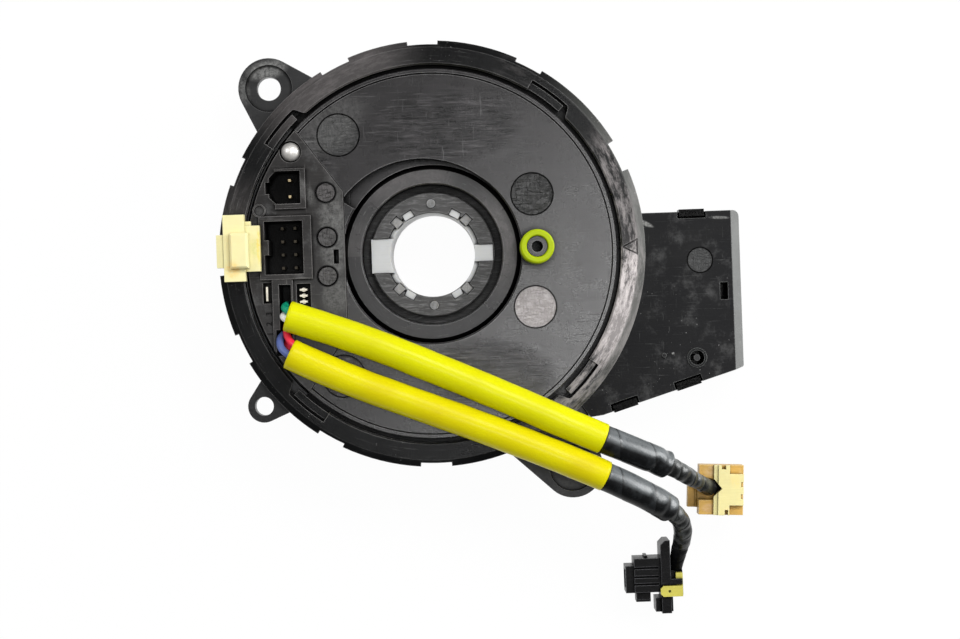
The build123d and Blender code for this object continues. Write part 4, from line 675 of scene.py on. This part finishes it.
leads = {
    # lengths along the lead in mm; taper: lengths, then what they add to the bundle's radius;
    # folds: (where, half length, side in degrees, depth)
    "upper": dict(route=upperRoute, sleeveEnd=84.0, tapeEnd=102.6, plug=["ivory_plug", "ivory_lid"], seed=1,
                  sleeveFinish="sleeveYellow",
                  taper=((0, 102, 106, 116, 123), (0.0, 0.15, 0.0, -0.35, -0.25)),
                  tapeFolds=((98.5, 1.0, 120, 0.55), (101.0, 0.9, 30, 0.45)),
                  folds=((104.0, 0.8, 100, 0.50), (106.5, 0.7, 60, 0.50), (109.5, 0.8, 110, 0.45),
                         (113.0, 0.8, 70, 0.40), (117.0, 0.9, 120, 0.35))),
    "lower": dict(route=lowerRoute, sleeveEnd=84.0, tapeEnd=104.2, plug=["black_plug", "plug_lock"], seed=2,
                  sleeveFinish="sleeveWarm",
                  taper=((0, 103, 108, 120, 132), (0.0, 0.15, 0.05, -0.10, -0.45)),
                  tapeFolds=((97.0, 1.4, 60, 0.40), (101.5, 0.9, 80, 0.55)),
                  folds=((106.0, 0.8, 60, 0.55), (109.5, 0.7, 110, 0.50), (113.5, 0.9, 70, 0.50),
                         (118.0, 0.8, 100, 0.45), (123.0, 0.9, 60, 0.35))),
}
# radii and lengths in mm; a loose wire dips to wireDip below its line wireBefore the sleeve's mouth and ends
# wireInside the sleeve
leadSizes = dict(bundle=2.4, bundleStart=4.0, sleeveOut=3.8, sleeveIn=3.2, tape=3.62, wire=0.95,
                 wireBefore=1.5, wireDip=0.4, wireInside=3.9)
# step along the line in mm and points round it
leadGrids = dict(sleeve=(0.7, 48), wrap=(0.35, 40), wire=(0.25, 20))
# lap pitch, thickness and unevenness in mm
wraps = dict(tape=dict(pitch=9.5, step=0.10, lump=0.20), bundle=dict(pitch=5.5, step=0.16, lump=0.30))
# share of a lap over which its edge rises, how far it sinks again in thicknesses, and the drawn-in ends
lapShape = dict(edge=0.06, sink=0.6, ends=0.9)
sleeveShape = dict(uneven=0.16, oval=0.06, rimSoft=0.12)
# the waves' counts round and their lengths along in mm
waveShape = dict(turns=(0, 1, 2, 3), lengths=(9.0, 17.0, 31.0))


def routeCurve(name, points):
    # a NURBS spline with the route's points as its control points
    curve = bpy.data.curves.new(name, "CURVE")
    curve.dimensions = "3D"
    curve.resolution_u = 24
    spline = curve.splines.new("NURBS")
    spline.points.add(len(points) - 1)
    flat = np.ones((len(points), 4))
    flat[:, :3] = np.array(points) * mm
    spline.points.foreach_set("co", flat.ravel())
    spline.order_u = 3
    spline.use_endpoint_u = True
    return curve


def curveMesh(name, curve):
    # the mesh that a curve makes, and its points
    holder = bpy.data.objects.new(name, curve)
    bpy.context.scene.collection.objects.link(holder)
    bpy.context.view_layer.update()
    mesh = bpy.data.meshes.new_from_object(holder.evaluated_get(bpy.context.evaluated_depsgraph_get()))
    bpy.data.objects.remove(holder)
    co = np.zeros(len(mesh.vertices) * 3)
    mesh.vertices.foreach_get("co", co)
    return mesh, co.reshape(-1, 3)


def linePoints(points):
    # the spline's own line, read from the curve with no bevel, and the length gone at each of its points
    co = curveMesh("line", routeCurve("line", points))[1]
    gone = np.concatenate([[0.0], np.cumsum(np.linalg.norm(np.diff(co, axis=0), axis=1))])
    keep = np.concatenate([[True], np.diff(gone) > 1e-7])
    return co[keep], gone[keep]


def cutLine(line, gone, start, end, step):
    # points at even steps between two lengths along the line
    end = min(end, gone[-1])
    at = np.linspace(start, end, max(8, int((end - start) / step)))
    return np.stack([np.interp(at, gone, line[:, axis]) for axis in range(3)], axis=1), at


def acrossFrames(line):
    # two unit vectors across the line at each point, level first: side = up x tangent, over = tangent x side
    tangent = np.gradient(line, axis=0)
    tangent /= np.linalg.norm(tangent, axis=1)[:, None]
    side = np.cross(np.array([0.0, 0.0, 1.0]), tangent)
    side /= np.linalg.norm(side, axis=1)[:, None]
    return side, np.cross(tangent, side)


def roundAngles(count):
    return np.linspace(0, 2 * math.pi, count, endpoint=False)


def ringGrid(line, radii):
    # each point of the line plus, at every angle round it, the radius there times
    # (cosine of the angle along side + sine of the angle along over)
    side, over = acrossFrames(line)
    angle = roundAngles(radii.shape[1])
    outward = (np.cos(angle)[None, :, None] * side[:, None, :]
               + np.sin(angle)[None, :, None] * over[:, None, :])
    return line[:, None, :] + radii[:, :, None] * outward


def gridMesh(name, grids, caps=False, uv=None):
    # joins grids of rings, given one after the other, into one skin; caps close the first and last ring
    rings = np.concatenate(grids, axis=0)
    rows, count = rings.shape[:2]
    row, col = np.meshgrid(np.arange(rows - 1), np.arange(count), indexing="ij")
    nextCol = (col + 1) % count
    quads = np.stack([row * count + col, row * count + nextCol, (row + 1) * count + nextCol,
                      (row + 1) * count + col], axis=-1).reshape(-1, 4)
    vertices = rings.reshape(-1, 3)
    faces = quads.tolist()
    if caps:
        faces.append(list(range(count))[::-1])
        faces.append(list(range((rows - 1) * count, rows * count)))
    mesh = bpy.data.meshes.new(name)
    mesh.from_pydata(vertices.tolist(), [], faces)
    if uv is not None:
        layer = mesh.uv_layers.new(name="wrap")
        corner = np.zeros((len(mesh.loops), 2))
        offsets = np.array([[0, 0], [0, 1], [1, 1], [1, 0]])
        gridRow = (row.reshape(-1, 1) + offsets[None, :, 0].reshape(1, -1)).ravel()
        gridCol = (col.reshape(-1, 1) + offsets[None, :, 1].reshape(1, -1)).ravel()
        corner[:len(gridRow), 0] = uv[gridRow]
        corner[:len(gridRow), 1] = gridCol / count
        layer.data.foreach_set("uv", corner.ravel())
    mesh.polygons.foreach_set("use_smooth", np.ones(len(mesh.polygons), bool))
    mesh.update()
    return mesh


def addPiece(name, mesh, finish, body, replaced=None):
    # a finished piece that rides on a body, and the node it stands for
    piece = bpy.data.objects.new(name, mesh)
    bpy.context.scene.collection.objects.link(piece)
    mesh.materials.append(finishes[finish])
    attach(piece, body)
    if replaced:
        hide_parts(replaced)
    return piece


def waves(at, angle, seed, size):
    # a gentle unevenness, the mean of sines of (place along / length + turns x angle round + a phase), each
    # with its own height; the phases and heights are fixed for each seed
    rng = np.random.default_rng(seed)
    total = np.zeros((len(at), len(angle)))
    for turns in waveShape["turns"]:
        for length in waveShape["lengths"]:
            phase, twist = rng.uniform(0, 2 * math.pi, 2)
            along = 2 * math.pi * at[:, None] / (length * mm)
            total += np.sin(along + turns * angle[None, :] + phase) * (0.6 + 0.4 * np.cos(twist))
    return size * total / (len(waveShape["turns"]) * len(waveShape["lengths"]))


def makeSleeve(name, line, gone, end, seed):
    # an open tube: outside skin, rim, inside skin, rim; both radii change by the same waves and by
    # the cosine of twice the angle, which makes it slightly oval
    step, count = leadGrids["sleeve"]
    path, at = cutLine(line, gone, 0.0, end, step * mm)
    angle = roundAngles(count)
    uneven = waves(at, angle, seed, sleeveShape["uneven"] * mm)
    oval = sleeveShape["oval"] * mm * np.cos(2 * angle)[None, :]
    outRadius = leadSizes["sleeveOut"] * mm + uneven + oval
    inRadius = leadSizes["sleeveIn"] * mm + uneven + oval
    middle = (outRadius + inRadius) / 2
    outside, inside, rim = (ringGrid(path, radii) for radii in (outRadius, inRadius, middle))
    soft = sleeveShape["rimSoft"] * mm
    ends = np.gradient(path, axis=0)
    ends /= np.linalg.norm(ends, axis=1)[:, None]
    nearRim = rim[:1] - ends[:1][:, None, :] * soft
    farRim = rim[-1:] + ends[-1:][:, None, :] * soft
    return gridMesh(name, [nearRim, outside, farRim, inside[::-1], nearRim])


def foldRidges(at, angle, folds):
    # sharp creases across the bundle: each takes off depth x exp(-(distance along / length) squared)
    # x the square of the cosine of the angle from its side, on that side only
    total = np.zeros((len(at), len(angle)))
    for place, length, side, depth in folds:
        along = np.exp(-((at - place * mm) / (length * mm)) ** 2)
        total -= depth * mm * along[:, None] * np.clip(np.cos(angle - math.radians(side)), 0, 1)[None, :] ** 2
    return total


def makeWrap(name, line, gone, start, end, radius, pitch, step, lump, seed, taper=None, folds=()):
    # wound tape: the lap is the fraction of (place along / pitch - turns round), and the radius rises by one
    # thickness at the lap's edge and sinks evenly along the lap
    gridStep, count = leadGrids["wrap"]
    path, at = cutLine(line, gone, start, end, gridStep * mm)
    angle = roundAngles(count)
    lap = (at[:, None] / (pitch * mm) - angle[None, :] / (2 * math.pi)) % 1.0
    rise = np.clip(lap / lapShape["edge"], 0, 1)
    radii = radius * mm - step * mm * (1 - rise) - step * mm * lapShape["sink"] * lap
    radii += waves(at, angle, seed, lump * mm)
    radii += foldRidges(at, angle, folds)
    if taper:
        radii += np.interp(at, np.array(taper[0]) * mm, np.array(taper[1]) * mm)[:, None]
    radii[[0, -1]] *= lapShape["ends"]
    return path, gridMesh(name, [ringGrid(path, radii)], caps=True, uv=at)


def roundWire(name, points, finish, node):
    # a round wire of one radius along its spline
    line, gone = linePoints(points)
    step, count = leadGrids["wire"]
    path = cutLine(line, gone, 0.0, gone[-1], step * mm)[0]
    mesh = gridMesh(name, [ringGrid(path, np.full((len(path), count), leadSizes["wire"] * mm))], caps=True)
    addPiece(name, mesh, finish, "rotor", node)


leadParts = {}
for leadName, lead in leads.items():
    line, gone = linePoints(lead["route"])
    sleeveEnd, tapeEnd = lead["sleeveEnd"] * mm, lead["tapeEnd"] * mm
    sleeveMesh = makeSleeve(f"{leadName}Sleeve", line, gone, sleeveEnd, lead["seed"])
    sleeve = addPiece(f"{leadName}Sleeve", sleeveMesh, lead["sleeveFinish"], "rotor",
                      f"{leadName}_sleeve")
    tapeMesh = makeWrap(f"{leadName}Tape", line, gone, sleeveEnd, tapeEnd, leadSizes["tape"], **wraps["tape"],
                        seed=lead["seed"] + 10, folds=lead["tapeFolds"])[1]
    tape = addPiece(f"{leadName}Tape", tapeMesh, "tapeBlack", "rotor", f"{leadName}_tape")
    bundleStart = leadSizes["bundleStart"] * mm
    bundlePath, bundleMesh = makeWrap(f"{leadName}Bundle", line, gone, bundleStart, gone[-1],
                                      leadSizes["bundle"], **wraps["bundle"], seed=lead["seed"] + 20,
                                      taper=lead["taper"], folds=lead["folds"])
    bundle = addPiece(f"{leadName}Bundle", bundleMesh, "tapeGrey", "rotor", f"{leadName}_bundle")
    heading = np.array(lead["route"][1]) - np.array(lead["route"][0])
    heading = heading / np.linalg.norm(heading)
    leadParts[leadName] = dict(mouth=np.array(lead["route"][0]), heading=heading,
                               side=np.array([-heading[1], heading[0], 0.0]))

for wireName, wire in wireRoutes.items():
    lead = leadParts[wire["lead"]]
    aside = lead["side"] * wire["across"]
    above = np.array([0, 0, wire["above"]])
    dip = np.array([0, 0, leadSizes["wireDip"]])
    near = lead["mouth"] - lead["heading"] * leadSizes["wireBefore"] + aside + above - dip
    end = lead["mouth"] + lead["heading"] * leadSizes["wireInside"] + aside + above
    points = wire["points"] + [tuple(near), tuple(end)]
    roundWire(wireName, points, wire["finish"], wire["node"])
print("wires made:", len(wireRoutes))

# the figures beside the wire channel: text and middle; size, rise and height of the face in mm
figures = dict(texts=(("3", -41.25, -13.7), ("2", -41.3, -16.2), ("1", -41.2, -18.7)),
               size=2.0, rise=0.09, top=19.4)


def raisedFigure(text, x, y):
    # a plain figure, turned a quarter, standing a little proud of the block
    curve = bpy.data.curves.new("figure", "FONT")
    curve.body = text
    curve.size = figures["size"] * mm
    curve.extrude = figures["rise"] * mm
    curve.align_x = "CENTER"
    curve.align_y = "CENTER"
    mesh, co = curveMesh("figure", curve)
    turned = np.stack([-co[:, 1] + x * mm, co[:, 0] + y * mm, co[:, 2] + figures["top"] * mm], axis=1)
    mesh.vertices.foreach_set("co", turned.ravel())
    mesh.update()
    mesh.materials.clear()
    addPiece(f"figure{text}", mesh, "figureBlack", "rotor")


for text, x, y in figures["texts"]:
    raisedFigure(text, x, y)
print("figures made")

# level, height and place in mm, floor size and clipping in metres, lens and sensor in mm, roll in degrees;
# floorGlow: how much of the floor seen directly is plain white, the rest keeps the shadow
studio = dict(
    floorLevel=-9.0, floorSize=3.0, floorColour=(0.86, 0.86, 0.86, 1.0), floorRough=0.9, floorGlow=0.97,
    cameraHeight=550.0, cameraOver=(11.4, -16.9), ringTop=20.0, lens=82.5, sensor=36.0, clip=(0.01, 20.0),
    roll=-2.0, white=(1.0, 1.0, 1.0, 1.0), skyStrength=0.27,
)
softLights = {
    # place, aim and size in metres, power in watts
    "overheadBox": dict(place=(0.165, -0.02, 1.25), aim=(0.01, -0.01, 0.0), size=(0.18, 0.26), power=3.1),
    "keyLight": dict(place=(0.34, 0.46, 0.78), aim=(0.01, -0.01, 0.0), size=(0.50, 0.32), power=5.6),
    "leftLight": dict(place=(-0.46, 0.26, 0.58), aim=(0.0, 0.0, 0.0), size=(0.30, 0.30), power=1.9),
    "lowLight": dict(place=(0.60, 0.14, 0.24), aim=(0.05, -0.04, 0.01), size=(0.30, 0.46), power=3.4),
}


def paleFloor():
    # a plain white square under the part, which glows for the camera and still takes shadows
    mesh = bpy.data.meshes.new("floor")
    half, low = studio["floorSize"] / 2, studio["floorLevel"] * mm
    mesh.from_pydata([(-half, -half, low), (half, -half, low), (half, half, low), (-half, half, low)], [],
                     [(0, 1, 2, 3)])
    floor = bpy.data.objects.new("floor", mesh)
    bpy.context.scene.collection.objects.link(floor)
    material, tree, shader = newMaterial("paperWhite")[:3]
    setInputs(tree, shader, {"Base Color": studio["floorColour"], "Roughness": studio["floorRough"]})
    seen = addNode(tree, "ShaderNodeLightPath").outputs
    glow = addNode(tree, "ShaderNodeEmission", {"Color": studio["white"], "Strength": 1.0})
    direct = maths(tree, "MAXIMUM", seen["Is Camera Ray"],
                   maths(tree, "MAXIMUM", seen["Is Glossy Ray"], seen["Is Transmission Ray"]))
    share = product(tree, direct, studio["floorGlow"])
    mixed = addNode(tree, "ShaderNodeMixShader", {0: share, 1: shader.outputs[0], 2: glow.outputs[0]})
    tree.links.new(mixed.outputs[0], tree.nodes["Material Output"].inputs["Surface"])
    mesh.materials.append(material)


def softLight(name, place, aim, size, power):
    # a rectangular lamp at place that looks at aim
    lamp = bpy.data.lights.new(name, "AREA")
    lamp.shape = "RECTANGLE"
    lamp.size, lamp.size_y = size
    lamp.energy = power
    holder = bpy.data.objects.new(name, lamp)
    holder.location = place
    holder.rotation_euler = (Vector(aim) - Vector(place)).to_track_quat("-Z", "Y").to_euler()
    bpy.context.scene.collection.objects.link(holder)


def setStudio():
    paleFloor()
    for name, light in softLights.items():
        softLight(name, **light)
    world = bpy.data.worlds.new("studio")
    world.use_nodes = True
    tree = world.node_tree
    sky = tree.nodes["Background"]
    setInputs(tree, sky, {"Color": studio["white"], "Strength": studio["skyStrength"]})
    # beyond the floor the camera sees plain white
    seen = addNode(tree, "ShaderNodeLightPath")
    white = addNode(tree, "ShaderNodeBackground", {"Color": studio["white"], "Strength": 1.0})
    mixed = addNode(tree, "ShaderNodeMixShader", {0: seen.outputs["Is Camera Ray"], 1: sky.outputs[0],
                    2: white.outputs[0]})
    tree.links.new(mixed.outputs[0], tree.nodes["World Output"].inputs["Surface"])
    bpy.context.scene.world = world
    camera = bpy.data.cameras.new("camera")
    camera.lens = studio["lens"]
    camera.sensor_width = studio["sensor"]
    camera.clip_start, camera.clip_end = studio["clip"]
    holder = bpy.data.objects.new("camera", camera)
    x, y = studio["cameraOver"]
    holder.location = (x * mm, y * mm, (studio["ringTop"] + studio["cameraHeight"]) * mm)
    holder.rotation_euler = (0.0, 0.0, math.radians(studio["roll"]))
    bpy.context.scene.collection.objects.link(holder)
    bpy.context.scene.camera = holder
    bpy.context.scene.view_settings.view_transform = "Standard"


setStudio()
print("studio set")
